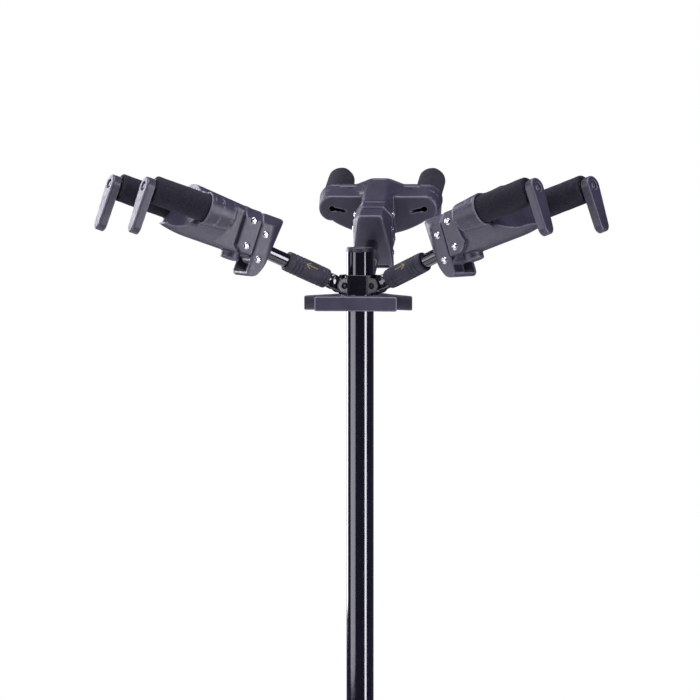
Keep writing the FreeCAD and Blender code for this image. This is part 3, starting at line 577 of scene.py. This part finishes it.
def yoke_rooms(x, y, z):
    """All that is cut out of the yoke: sockets, bores, the cranks' rooms, keyholes and the links' room."""
    foam_room = meet(0.6, disc(y, z, PRONG_HALF, PRONG_UP, FOAM_RADIUS + 0.35), FOAM_START - 0.3 - x)
    tube_room = meet(0.3, disc(y, z, PRONG_HALF, PRONG_UP, PRONG_RADIUS + SLIP), PRONG_START - 0.3 - x)
    crank_room = meet(0.6, disc(y, z, PRONG_HALF, PRONG_UP, 12.2),
                      slab(x, CRANK_REAR - 0.6, CRANK_REAR + 3.5))
    slot = stroke(y, z, (42, 28.4), (32.4, 26.4), 1.6)
    keyhole = np.maximum(fuse(0.4, disc(y, z, PRONG_HALF, PRONG_UP, 2.8), slot), x - 167)
    room_half = 11
    link_room = meet(1.0, y - room_half, slab(z, 6.4, 42), x - 152)
    way_in = meet(0.3, y - room_half, z - 8, x - 131)
    bores = [disc(x, z, *pin, PIN_BORE) for pin in YOKE_PINS]
    return [foam_room, tube_room, crank_room, keyhole, np.minimum(link_room, way_in), *bores]


def yoke_shape(x, y, z):
    """Flange and neck at the back, two ears with foam sockets, the ridge, the keel and a boss below."""
    one_side, y = y < 0, np.abs(y)
    flange = neck_shape(x, y, z, one_side)
    ridge = meet(0.8, spine_outline(x, y, z), slab(x, FLANGE_FRONT - 3, SOCKET_LIP), -z)
    ears = meet(2.2, ear_outline(x, y, z), EAR_REAR - x)
    ears = meet(0.7, ears, x - SOCKET_LIP)
    boss = meet(1.6, disc(x, y, 137, 0, 9.5), slab(z, -4, 8))
    body = meet(1.2, fuse(2.2, fuse(2.0, flange, ridge), ears), under(x, y, z))
    body = np.maximum(body, x - SOCKET_LIP)
    body = fuse(1.2, np.minimum(body, keel_shape(x, y, z)), boss)
    parting_groove = np.minimum(0.45 - np.abs(x - 188.8), body + 0.5)
    body = np.maximum(body, np.where(z > 36, parting_groove, -9))
    return carve(0.6, body, *yoke_rooms(x, y, z))


def pan_head_shape(x, y, z):
    """Domed screw head on the plane z = 0, with a cross recess."""
    dome = np.sqrt(x ** 2 + y ** 2 + (z + 3.6) ** 2) - 5.05
    head = meet(0.25, dome, np.hypot(x, y) - 3.4, -z)
    half_slot, half_cross, floor = 0.38 + 0.12 * z, 1.9, 0.55
    arm_x = meet(0.1, np.abs(y) - half_slot, np.abs(x) - half_cross)
    arm_y = meet(0.1, np.abs(x) - half_slot, np.abs(y) - half_cross)
    return carve(0.12, head, np.maximum(np.minimum(arm_x, arm_y), floor - z))


def screws(pins):
    """Cross pins with a pan head on each side, as one set of forms."""
    head = skin(pan_head_shape, (-4, -4, -0.6), (4, 4, 2), 0.22)
    shank = lathe(plain_bar(-BLOCK_HALF, BLOCK_HALF, 2), 32, "Y")
    forms = []
    for count, (x, z) in enumerate(pins):
        for side in SIDES.values():
            spin = Matrix.Rotation(math.radians(20 + 55 * count * side), 4, "Z")
            forms.append(moved(head, shift(x, side * (BLOCK_HALF + SLIP), z) @ facing(side) @ spin))
        forms.append(moved(shank, shift(x, 0, z)))
    return forms


# ------------ head: prongs, foam and gates
def prong_form(side):
    """Steel tube with a flat ring at its outer end."""
    bore, end, ring, ring_start = 4.05, 246.9, 10, FOAM_END + 0.05
    profile = rounded([(PRONG_START, bore), (end, bore), (end, ring, 0.6), (ring_start, ring, 0.6),
                       (ring_start, PRONG_RADIUS), (PRONG_START, PRONG_RADIUS)], 0.2)
    return moved(lathe(profile[::-1]), shift(0, side * PRONG_HALF, PRONG_UP))


def foam_form(start, end, radius, bore, seed, around=120, pitch=0.9):
    """Foam tube with soft ends and a slightly uneven skin."""
    rows = int((end - start) / pitch)
    soft = 1.8
    outer = [(start + soft * (1 - math.cos(a)), radius - soft * (1 - math.sin(a)))
             for a in np.linspace(0, math.pi / 2, 6)]
    middle = [(x, radius) for x in np.linspace(start + soft + 0.8, end - soft - 0.8, rows)]
    far = [(start + end - x, r) for x, r in reversed(outer)]
    points, faces = lathe([(start, bore)] + outer + middle + far + [(end, bore)], around)
    luck = np.random.default_rng(seed)
    away = np.hypot(points[:, 1], points[:, 2])
    swell = np.zeros(len(points))
    for _ in range(24):
        wave = luck.normal(0, 0.28, 3)
        swell += np.sin(points @ wave + luck.uniform(0, 6.3))
    swell = (0.022 * swell - 0.05) * (away > radius - 1.0)
    points[:, 1:] *= (1 + swell / np.maximum(away, 1))[:, None]
    return flipped((points, faces))


def gate_shape(x, y, z):
    """Tapered bar with round ends, eased all round, with a recess at its pivot and a push nut in it."""
    top, tip, tall = 9.2, 6.8, 37.0
    lean = (top - tip) / tall
    upright = math.sqrt(1 - lean * lean)
    down, across = -z, np.abs(y)
    along = -lean * across + upright * down
    outline = np.where(along < 0, np.hypot(across, down) - top,
                       np.where(along > upright * tall, np.hypot(across, down - tall) - tip,
                                upright * across + lean * down - top))
    bar = meet(0.7, outline, GATE_REAR - x)
    bar = meet(1.7, bar, x - GATE_FRONT)
    from_pivot = np.hypot(y, z)
    recess = meet(0.3, from_pivot - 4.4, GATE_FRONT - 2 - x)
    nut = meet(0.8, from_pivot - 2.7, x - GATE_FRONT + 0.7, GATE_REAR + 1 - x)
    return np.minimum(carve(0.5, bar, recess), nut)


def crank_shape(x, y, z):
    """Short arm on the spindle's end, with a round hub."""
    arm = np.minimum(stroke(y, z, (0, 0), (0, 9.2), 2.3), np.hypot(y, z) - 4.6)
    return meet(0.6, slab(x, CRANK_REAR, CRANK_REAR + 3.0), arm)


def spindle_form():
    """Spindle inside the prong with its crank in the ear."""
    start, end = CRANK_REAR, GATE_REAR + 0.5
    shaft = lathe(rounded([(end, ON_AXIS, 0), (end, 4), (start, 4), (start, ON_AXIS, 0)], 0.3), 48)
    crank = skin(crank_shape, (start - 1, -6, -6), (start + 4, 6, 13), 0.5)
    return [shaft, crank]


def spring_curve(name, side):
    """Torsion coil on the upper housing pin, with one tail on the housing and one on the link."""
    turns, per_turn, radius, first, pitch = 3.5, 24, 3.1, 11.4, 1.05
    route = [(10.5, 0.0, radius + 0.2)]
    for k in range(int(turns * per_turn) + 1):
        angle = 2 * math.pi * k / per_turn
        route.append((radius * math.sin(angle), pitch * k / per_turn, radius * math.cos(angle)))
    route.append((-3.0, pitch * turns, -radius - 1.5))
    curve = bpy.data.curves.new(name, "CURVE")
    curve.dimensions = "3D"
    curve.bevel_depth = 0.45 * MM
    curve.bevel_resolution = 3
    spline = curve.splines.new("NURBS")
    spline.points.add(len(route) - 1)
    x0, z0 = HOUSING_PINS[0]
    for point, (x, y, z) in zip(spline.points, route):
        point.co = ((x0 + x) * MM, side * (first + y) * MM, (z0 + z) * MM, 1)
    spline.order_u = 3
    spline.use_endpoint_u = True
    curve.materials.append(STEEL)
    return shown(bpy.data.objects.new(name, curve))


# ------------ arm and lock sleeve
def arm_shape(x, y, z):
    """Tube whose inner end is pressed flat round the hinge bolt; the pressing fades out along the tube."""
    eye_radius, half_thick = 6.2, 5.6
    eye = fuse(0.01, disc(x, z, 0, 0, eye_radius), meet(0.01, slab(x, 0, 12), np.abs(z) - eye_radius))
    tongue = meet(1.2, eye, np.abs(y) - half_thick)
    tube = meet(0.5, np.hypot(y, z) - ARM_RADIUS, slab(x, 8.5, ARM_END))
    return carve(0.4, fuse(3.0, tongue, tube), disc(x, z, 0, 0, 2.55))


def sleeve_form():
    """Ribbed sleeve: two grooves at its inner end, three at its outer end and a narrower lip on both ends."""
    pitch, wide, deep = 3.8, 1.8, 0.9
    end = SLEEVE_START + SLEEVE_LENGTH
    starts = [SLEEVE_START + pitch * k for k in (1, 2)] + [end - pitch * k for k in (4, 3, 2)]
    outline = [(SLEEVE_START, ARM_RADIUS + SLIP, 0.2), (SLEEVE_START, SLEEVE_RADIUS - 0.4, 0.7),
               (SLEEVE_START + 2.4, SLEEVE_RADIUS - 0.2)]
    for start in starts:
        floor = SLEEVE_RADIUS - deep
        outline += [(start, SLEEVE_RADIUS), (start + 0.3, floor), (start + wide - 0.3, floor),
                    (start + wide, SLEEVE_RADIUS)]
    outline += [(end - 2.4, SLEEVE_RADIUS - 0.2), (end, SLEEVE_RADIUS - 0.4, 0.7),
                (end, ARM_RADIUS + SLIP, 0.2)]
    return flipped(lathe(rounded(outline, 0.3, 3)))


def arrow_form(middle, turn):
    """Painted arrow that points outwards, wrapped round the sleeve at an angle from its top."""
    strokes = [((-6, 0), (5.6, 0)), ((6, 0), (1.6, 3.1)), ((6, 0), (1.6, -3.1))]
    radius, half_line, cuts = SLEEVE_RADIUS + 0.04, 0.42, 8
    points, faces = [], []
    for start, end in strokes:
        start, end = Vector(start), Vector(end)
        along = (end - start).normalized()
        beside = Vector((-along.y, along.x)) * half_line
        base = len(points)
        for k in range(cuts + 1):
            spot = start.lerp(end, k / cuts)
            for edge in (spot + beside, spot - beside):
                angle = turn + edge.y / radius
                points.append((middle + edge.x, radius * math.sin(angle), radius * math.cos(angle)))
        faces += [(base + 2 * k, base + 2 * k + 1, base + 2 * k + 3, base + 2 * k + 2) for k in range(cuts)]
    return np.array(points), np.array(faces)


# ------------ column
def storage_plate_shape(x, y, z):
    """Three lobes with slightly hollow front faces; slots between them take the folded arms."""
    lobe_out, lobe_half, slot_out, slot_half = 36.3, 39.5, 15.4, 11.6
    lobes, slots = [], []
    for azimuth in LEGS.values():
        out, left = out_and_left(x, y, azimuth)
        hollow = 2.4 * np.cos(left / lobe_half * math.pi / 2) ** 2 * (np.abs(left) < lobe_half)
        lobes.append(meet(0.8, out - lobe_out + hollow, np.abs(left) - lobe_half, -out))
    for azimuth in ARMS.values():
        out, left = out_and_left(x, y, azimuth)
        slots.append(meet(3.0, np.abs(left) - slot_half, slot_out - out))
    plan = carve(1.0, np.minimum.reduce(np.broadcast_arrays(*lobes)), *slots)
    body = meet(1.0, plan, slab(z, -8.2, 5.4))
    return carve(0.3, body, np.hypot(x, y) - TUBE_RADIUS - SLIP)


def hub_sheet_shape(x, y, z):
    """One bent sheet: a web against the tube and a flange beside each neighbouring arm."""
    web_at, half_thick, low, high = 14.05, 1.25, 5.6, 24.6
    y = np.abs(y)
    out, left = out_and_left(x, y, 60)
    web = stroke(x, y, (web_at, -5), (web_at, 9.0), half_thick)
    flange = stroke(x, y, (web_at, 9.0), (19.7, 19.6), half_thick)
    plan = fuse(1.2, web, flange)
    face = convex(y, z, [(11.5, low), (11.5, high), (-11.5, high), (-11.5, low)], 2.6)
    end = fuse(1.0, disc(out, z, ARM_PIVOT_OUT, ARM_PIVOT_UP, 7),
               meet(1.5, slab(z, low, high), slab(out, 0, 18.2)))
    bore = np.maximum(disc(out, z, ARM_PIVOT_OUT, ARM_PIVOT_UP, 2.55), np.abs(left + 7.1) - 4)
    return carve(0.2, meet(0.6, plan, slab(z, low, high), end, fuse(0.5, face, 11.0 - y)), bore)


def bolt_forms(radius, head_radius, head_tall, half):
    """Button-headed cross bolt with a hexagon socket in each end."""
    def head(x, y, z):
        """Domed head on the plane z = 0."""
        hexagon = np.maximum.reduce(np.broadcast_arrays(*[
            np.abs(x * math.cos(a) + y * math.sin(a)) for a in (0, math.pi / 3, 2 * math.pi / 3)]))
        bulge = head_radius * 1.6
        dome = np.sqrt(x ** 2 + y ** 2 + (z + bulge - head_tall) ** 2) - bulge
        socket = np.maximum(hexagon - head_radius * 0.42, head_tall * 0.35 - z)
        return carve(0.15, meet(0.3, dome, np.hypot(x, y) - head_radius, -z), socket)
    reach = head_radius + 0.6
    cap = skin(head, (-reach, -reach, -0.8), (reach, reach, head_tall + 0.8), head_radius / 14)
    caps = [moved(cap, shift(0, side * half, 0) @ facing(side)) for side in SIDES.values()]
    return caps + [lathe(plain_bar(-half, half, radius), 40, "Y")]


# ------------ height clutch
def clutch_shape(x, y, z):
    """Waisted collar with grip flutes, a slit in front and two ears for the lever."""
    around = np.arctan2(x, y)
    waist = 0.9 * np.cos((z - CLUTCH_MIDDLE) / 25 * math.pi / 2)
    flutes = 0.35 * np.cos(around * 20) * np.clip((594 - z) / 3, 0, 1) * np.clip((z - 562) / 3, 0, 1)
    collar = meet(2.2, np.hypot(x, y) - 22.6 + waist - flutes,
                  slab(z, CLUTCH_MIDDLE - 25, CLUTCH_MIDDLE + 25))
    root = meet(0.5, slab(y, -CLUTCH_PIN_OUT, -14), slab(z, CLUTCH_PIN_UP - 7.6, CLUTCH_PIN_UP + 7.6))
    ear = np.minimum(disc(y, z, -CLUTCH_PIN_OUT, CLUTCH_PIN_UP, 7.6), root)
    ears = meet(1.2, slab(np.abs(x), 6.3, CLUTCH_EAR_OUT), ear)
    slit = meet(0.4, np.abs(x) - 1, y + 8, CLUTCH_MIDDLE - z)
    bores = [np.maximum(np.hypot(x, y) - LOWER_RADIUS - SLIP, z - LOWER_TOP),
             np.hypot(x, y) - TUBE_RADIUS - SLIP,
             np.maximum(disc(y, z, -CLUTCH_PIN_OUT, CLUTCH_PIN_UP, PIN_BORE), y + 14)]
    return carve(0.5, fuse(1.5, collar, ears), slit, *bores)


def lever_shape(x, y, z):
    """Cam round the pin and a blade that swells towards its tip."""
    cam = disc(y, z, -CLUTCH_PIN_OUT, CLUTCH_PIN_UP, 5)
    blade = fuse(3, stroke(y, z, (-30, 590), (-31, 570), 2.2),
                 stroke(y, z, (-31, 571), (-30.6, 565.5), 2.9))
    grip = 0.25 * np.cos(z * 2.2) * np.clip((582 - z) / 3, 0, 1) * np.clip(-y - 30.5, 0, 1)
    side = meet(1.5, fuse(1.5, cam, blade) - grip, np.abs(x) - 6)
    return carve(0.3, side, disc(y, z, -CLUTCH_PIN_OUT, CLUTCH_PIN_UP, PIN_BORE))


# ------------ legs, feet and backrests
def leg_hub_shape(x, y, z):
    """Cast collar with two shallow bands and three pairs of ears, each pair ribbed back to the collar."""
    wall, tall = np.hypot(x, y) - 23, slab(z, HUB_LOW, HUB_HIGH)
    collar, band_floor = meet(2.0, wall, tall), meet(1.0, wall, tall) + 0.7
    half_gap, half_band = 27, 0.5
    bands = np.maximum(half_band - np.abs(np.abs(z - (HUB_LOW + HUB_HIGH) / 2) - half_gap), collar + 0.7)
    ears = []
    bores = [np.maximum(np.hypot(x, y) - LOWER_RADIUS - SLIP, LOWER_FOOT - z)]
    for azimuth in LEGS.values():
        out, left = out_and_left(x, y, azimuth)
        web = convex(out, z, [(18, 131), (LEG_PIVOT_OUT, 133), (LEG_PIVOT_OUT, 152), (18, 154)], 0.5)
        side = np.minimum(disc(out, z, LEG_PIVOT_OUT, LEG_PIVOT_UP, 10), web)
        ears.append(meet(1.0, side, slab(np.abs(left), 8.1, HUB_EAR_OUT)))
        bores.append(np.maximum(disc(out, z, LEG_PIVOT_OUT, LEG_PIVOT_UP, LEG_BORE), 18 - out))
    collar = np.maximum(collar, np.minimum(bands, band_floor))
    return carve(0.4, fuse(2.0, collar, *ears), *bores)


def leg_shape(x, y, z):
    """Leg tube, flattened at its hinge and open at its foot."""
    y = np.abs(y)
    eye = np.minimum(disc(x, z, 0, 0, LEG_RADIUS), meet(0.01, slab(x, 0, 22), np.abs(z) - LEG_RADIUS))
    tongue = meet(1.4, eye, y - 7.8)
    tube = meet(0.5, np.hypot(y, z) - LEG_RADIUS, slab(x, 14, LEG_END))
    inside = np.maximum(np.hypot(y, z) - LEG_RADIUS + 1.5, 24 - x)
    return carve(0.3, fuse(4.0, tongue, tube), inside, disc(x, z, 0, 0, LEG_BORE))


def foot_shape(x, y, z):
    """Rubber foot: a round sole with rings under it and a sleeve with ribs that grips the leg."""
    lean = math.radians(LEG_SLOPE)
    dx, dz = x - LEG_PIVOT_OUT, z - LEG_PIVOT_UP
    along, above = dx * math.cos(lean) - dz * math.sin(lean), dx * math.sin(lean) + dz * math.cos(lean)
    from_leg, from_foot = np.hypot(y, above), np.hypot(x - FOOT_OUT, y)
    sole = meet(2.2, from_foot - 14 + 0.045 * np.abs(z - 4), slab(z, 0, 23))
    rings = 0.35 * np.clip(np.cos(along * 1.15) * 4, -1, 1) * np.clip((306 - along) / 3, 0, 1)
    sleeve = meet(1.2, from_leg - 12.1 + np.maximum(rings, -0.1), slab(along, 284, 316))
    leg_room = np.maximum(from_leg - LEG_RADIUS - SLIP, along - LEG_END - SLIP)
    tread = np.maximum(np.abs(from_foot - 8) - 0.9, z - 0.8)
    return carve(0.4, fuse(2.5, sole, sleeve), leg_room, tread)


def rest_rod_shape(x, y, z):
    """Rod with a welded cross bar; the weld shows as a soft fillet."""
    stem = meet(0.6, disc(y, z, 0, REST_UP, REST_ROD), slab(x, LOWER_RADIUS + 1.2, REST_OUT))
    bar = meet(1.0, disc(x, z, REST_OUT, REST_UP, REST_ROD), np.abs(y) - 64)
    return fuse(2.6, stem, bar)


def rest_collar_form():
    """Clamp ring with a raised band at each end."""
    low, high, band, waist = 318, 352, 22, 21.2
    bore = LOWER_RADIUS + SLIP
    outline = [(low, bore), (high, bore), (high, band, 2), (high - 8, band), (high - 9, waist),
               (low + 9, waist), (low + 8, band), (low, band, 2)]
    return lathe(rounded(outline, 0.4), 120, "Z")


# ------------ build: heads
def build_heads():
    """Every mesh of a head is made once, and the three heads share it."""
    housing = skin(housing_shape, (98, -20, -16), (126, 20, 49), 0.8)
    yoke = skin(yoke_shape, (122, -62, -6), (216, 62, 53), 0.85)
    gate = skin(gate_shape, (245.5, -12, -46), (258, 12, 12), 0.6)
    prongs = [prong_form(side) for side in SIDES.values()]
    foams = [moved(foam_form(FOAM_START, FOAM_END, FOAM_RADIUS, PRONG_RADIUS + SLIP, 11 + side),
                   shift(0, side * PRONG_HALF, PRONG_UP)) for side in SIDES.values()]
    whole_head = (
        ("housing_shell_", "arm_", "housing_", MOULDING, "moulding", [housing]),
        ("yoke_moulding_", "yoke_", "yoke_", MOULDING, "moulding", [yoke]),
        ("housing_pan_heads_", "arm_", "housing_screws_", CHROME, "screw_chrome", screws(HOUSING_PINS)),
        ("yoke_pan_heads_", "yoke_", "yoke_screws_", CHROME, "screw_chrome", screws(YOKE_PINS)),
        ("prong_tubes_", "yoke_", "prongs_", BLACK_BOLT_AND_SHADE, "black_bolt", prongs))
    spindle = spindle_form()
    for name, azimuth in ARMS.items():
        place = head_place(azimuth)
        for stem, body, node, material, slot, forms in whole_head:
            fit(shared(stem, name, material, place, *forms), body + name, slot, node + name)
        foam_pair = shared("prong_foam_", name, FOAM, place, *foams)
        fit(foam_pair, "yoke_" + name, "foam", "foam_sleeves_" + name)
        for side_name, side in SIDES.items():
            which = side_name + "_" + name
            at = place @ offset(0, side * PRONG_HALF, PRONG_UP)
            fit(shared("gate_bar_", which, MOULDING, at, gate), "gate_" + which, "moulding", "gate_" + which)
            # The steel spindle and crank take the black finish as painted shade: it darkens the inside of the
            # ear seen through the keyhole.
            fit(shared("gate_spindle_", which, BLACK_BOLT_AND_SHADE, at, *spindle), "gate_" + which, "plain_steel")
        for side_name, side in SIDES.items():
            coil = spring_curve("spring_coil_" + side_name + "_" + name, side)
            coil.matrix_world = place
            fit(coil, "arm_" + name, "plain_steel", "return_spring_" + name)


def build_arms():
    """Arms and lock sleeves, with a painted arrow on both flanks of each sleeve."""
    tube = skin(arm_shape, (-8, -8, -8), (96, 8, 8), 0.55)
    sleeve = sleeve_form()
    arrows = [arrow_form(SLEEVE_START + 21, side * math.radians(66)) for side in SIDES.values()]
    for name, azimuth in ARMS.items():
        place, on_sleeve = arm_place(azimuth), "lock_sleeve_" + name
        fit(shared("arm_tube_", name, GLOSS, place, tube), "arm_" + name, "gloss_tube", "arm_" + name)
        fit(shared("sleeve_grip_", name, GRIP, place, sleeve), on_sleeve, "grip_rubber", on_sleeve)
        fit(shared("sleeve_arrow_", name, ARROW, place, *arrows), on_sleeve, "grip_rubber")


# ------------ build: column, legs and backrests
def tube_form(low, high, outer, inner):
    """Upright tube with eased ends."""
    return lathe(rounded([(low, inner), (high, inner), (high, outer), (low, outer)], 0.4), 144, "Z")


def around_column(forms, azimuths, place=Matrix()):
    """Copies of some forms, each first moved and then turned to an azimuth."""
    return [moved(form, turned_to(azimuth) @ place) for azimuth in azimuths.values() for form in forms]


def build_column():
    """Upper and lower tube, plug, storage plate and the hub with its bolts."""
    world, level = Matrix(), offset(0, 0, PLATE_LEVEL)
    upper = tube_form(480, TUBE_TOP, TUBE_RADIUS, TUBE_INSIDE)
    fit(piece("upper_column", GLOSS, world, upper), "mast", "gloss_tube", "upper_tube")
    lower = tube_form(LOWER_FOOT, LOWER_TOP, LOWER_RADIUS, LOWER_INSIDE)
    fit(piece("lower_column", GLOSS, world, lower), "base", "gloss_tube", "lower_tube")
    plug_foot, plug_inside, plug_top, dish = TUBE_TOP - 20, TUBE_INSIDE - 0.1, TUBE_TOP + 4, TUBE_TOP + 3.2
    plug = lathe(rounded([(plug_foot, ON_AXIS, 0), (plug_foot, plug_inside), (TUBE_TOP, plug_inside),
                          (TUBE_TOP, TUBE_RADIUS, 0.3), (plug_top, TUBE_RADIUS, 3.0), (plug_top, 9.4, 0.6),
                          (dish, 8.6, 0.6), (dish, ON_AXIS, 0)], 0.3), 120, "Z")
    fit(piece("column_plug", MOULDING, world, flipped(plug)), "mast", "plate_plastic", "end_plug")
    plate = skin(storage_plate_shape, (-56, -56, -9.4), (56, 56, 6.6), 0.7)
    fit(piece("lobed_plate", PLATE, level, plate), "mast", "plate_plastic", "storage_plate")
    sheets = around_column([skin(hub_sheet_shape, (10, -24, 4), (25, 24, 26), 0.4)], LEGS)
    fit(piece("hub_sheets", SATIN, level, *sheets), "mast", "gloss_tube", "hub_plates")
    bolts = around_column(bolt_forms(2.5, 3.3, 1.4, 8.35 + SLIP), ARMS, shift(ARM_PIVOT_OUT, 0, ARM_PIVOT_UP))
    fit(piece("arm_hinge_bolts", BLACK_BOLT_AND_SHADE, level, *bolts), "mast", "black_bolt", "arm_bolts")


def build_stand():
    """Clutch, hub, legs with their feet, and the backrests."""
    world = Matrix()
    collar = skin(clutch_shape, (-25, -39, 554), (25, 25, 608), 0.8)
    fit(piece("clutch_collar", PLATE, world, collar), "base", "plate_plastic", "clutch_body")
    blade = skin(lever_shape, (-7.5, -36, 560), (7.5, -22, 601), 0.5)
    fit(piece("clutch_blade", PLATE, world, blade), "clutch_lever", "plate_plastic", "clutch_lever")
    at_pin = offset(0, -CLUTCH_PIN_OUT, CLUTCH_PIN_UP) @ turned_to(-90)
    pin = bolt_forms(2.0, 3.4, 1.4, CLUTCH_EAR_OUT + SLIP)
    fit(piece("clutch_cross_pin", CHROME, at_pin, *pin), "base", "screw_chrome", "clutch_pin")
    hub = skin(leg_hub_shape, (-50, -50, 106), (50, 50, 176), 0.9)
    fit(piece("leg_hub_casting", PLATE, world, hub), "base", "plate_plastic", "leg_hub")
    bolts = around_column(bolt_forms(4.0, 7.0, 4.0, HUB_EAR_OUT + SLIP), LEGS,
                          shift(LEG_PIVOT_OUT, 0, LEG_PIVOT_UP))
    fit(piece("leg_hinge_bolts", BLACK_BOLT_AND_SHADE, world, *bolts), "base", "black_bolt", "leg_bolts")
    leg = skin(leg_shape, (-11, -11, -11), (314, 11, 11), 0.9)
    foot = skin(foot_shape, (286, -16, -1.5), (346, 16, 48), 0.8)
    for name, azimuth in LEGS.items():
        leg_piece = shared("leg_tube_", name, GLOSS, leg_place(azimuth), leg)
        foot_piece = shared("foot_pad_", name, FOOT, turned_to(azimuth), foot)
        fit(leg_piece, "leg_" + name, "gloss_tube", "leg_" + name)
        fit(foot_piece, "leg_" + name, "foot_rubber", "foot_" + name)
    fit(piece("rest_clamp", PLATE, world, rest_collar_form()), "base", "plate_plastic", "rest_collar")
    rods = around_column([skin(rest_rod_shape, (16, -66, 328), (123, 66, 342), 0.8)], ARMS)
    fit(piece("rest_bars", GLOSS, world, *rods), "base", "gloss_tube", "rest_rods")
    on_bar = shift(REST_OUT, 0, REST_UP) @ turned_to(90)
    pads = []
    for count, azimuth in enumerate(ARMS.values()):
        for start, end in ((8, 62), (-62, -8)):
            pad = foam_form(start, end, 13.5, REST_ROD + SLIP, 31 + count)
            pads.append(moved(pad, turned_to(azimuth) @ on_bar))
    fit(piece("rest_pads", FOAM, world, *pads), "base", "foam", "rest_foam")


def finish_cad_nodes():
    """Materials for the CAD nodes that show as they are."""
    carried = {"tube_bush": PLATE}
    for name in ARMS:
        carried.update({"upper_link_" + name: MOULDING, "lower_link_" + name: MOULDING})
    for node, material in carried.items():
        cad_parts[node].data.materials.clear()
        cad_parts[node].data.materials.append(material)


# ------------ studio and camera (metres, degrees, watts)
CAMERA_AZIMUTH, CAMERA_ELEVATION, CAMERA_DISTANCE = 6.9, 3.45, 4.5
CAMERA_TARGET, CAMERA_LENS = (-0.0095, 0.0, 0.9389), 248.0
LAMP_AIM, LAMP_TINT = (0, 0, 0.98), (0.98, 0.96, 1.06)
FLOOR_RADIUS = 1.5


def plain(name, shade, roughness):
    """Matt paper of one shade."""
    made = Finish(name)
    made.colour(made.noise(3, 2), 0.3, 0.7, tuple(0.985 * c for c in shade), shade)
    made.rough(made.noise(9, 2), 0.3, 0.7, roughness - 0.03, roughness + 0.03)
    return made.material


def softbox(name, at, size, watts):
    """Rectangular lamp that looks at the heads' level on the column."""
    lamp = bpy.data.lights.new(name, "AREA")
    lamp.shape = "RECTANGLE"
    lamp.size, lamp.size_y = size
    lamp.energy = watts
    lamp.color = LAMP_TINT
    item = shown(bpy.data.objects.new(name, lamp))
    item.location = at
    item.rotation_euler = (Vector(LAMP_AIM) - Vector(at)).to_track_quat("-Z", "Y").to_euler()


def build_camera():
    """Long lens on a low tripod, a little to the right of the front leg."""
    azimuth, elevation = math.radians(CAMERA_AZIMUTH), math.radians(CAMERA_ELEVATION)
    back = Vector((math.sin(azimuth) * math.cos(elevation), -math.cos(azimuth) * math.cos(elevation),
                   math.sin(elevation)))
    data = bpy.data.cameras.new("camera")
    data.lens = CAMERA_LENS
    data.sensor_width = 36
    data.clip_end = 200
    item = shown(bpy.data.objects.new("camera", data))
    item.location = Vector(CAMERA_TARGET) + back * CAMERA_DISTANCE
    item.rotation_euler = (-back).to_track_quat("-Z", "Y").to_euler()
    bpy.context.scene.camera = item


def from_camera(turn, distance, height):
    """A point at an angle to the right of the camera's direction, as seen from the object."""
    angle = math.radians(-90 + CAMERA_AZIMUTH + turn)
    return distance * math.cos(angle), distance * math.sin(angle), height


def build_studio():
    """Paper floor, four softboxes and a soft sun."""
    sides = 96
    reach = Vector((FLOOR_RADIUS, 0, 0))
    rim = [Matrix.Rotation(2 * math.pi * k / sides, 3, "Z") @ reach for k in range(sides)]
    floor = bpy.data.meshes.new("studio_floor")
    floor.from_pydata(rim, [], [range(sides)])
    floor.materials.append(plain("floor_paper", (0.86, 0.86, 0.86), 0.6))
    shown(bpy.data.objects.new("studio_floor", floor))
    build_world((0.06, 0.058, 0.10))
    softbox("key_left", from_camera(-64, 2.0, 1.2), (1.75, 1.9), 31)
    softbox("strip_right", from_camera(48, 2.0, 1.1), (0.60, 1.9), 36)
    softbox("overhead", (-0.2, -0.3, 2.7), (1.6, 1.6), 34)
    softbox("back_left", from_camera(-138, 2.2, 1.3), (1.0, 1.8), 33)
    sun = bpy.data.lights.new("skylight", "SUN")
    sun.energy = 0.4
    sun.angle = math.radians(50)
    lamp = shown(bpy.data.objects.new("skylight", sun))
    lamp.rotation_euler = Euler((math.radians(18), math.radians(-14), 0))
    bpy.context.scene.view_settings.view_transform = "Standard"


def build_world(shade):
    """White behind the object, dimmer for the light it gives."""
    world = bpy.data.worlds.new("studio")
    bpy.context.scene.world = world
    world.use_nodes = True
    nodes, links = world.node_tree.nodes, world.node_tree.links
    dim = nodes["Background"]
    dim.inputs["Color"].default_value = (*shade, 1)
    white = nodes.new("ShaderNodeBackground")
    white.inputs["Color"].default_value = (1, 1, 1, 1)
    mix = nodes.new("ShaderNodeMixShader")
    links.new(nodes.new("ShaderNodeLightPath").outputs["Is Camera Ray"], mix.inputs["Fac"])
    links.new(dim.outputs["Background"], mix.inputs[1])
    links.new(white.outputs["Background"], mix.inputs[2])
    links.new(mix.outputs["Shader"], nodes["World Output"].inputs["Surface"])


build_camera()
build_heads()
build_arms()
build_column()
build_stand()
finish_cad_nodes()
build_studio()
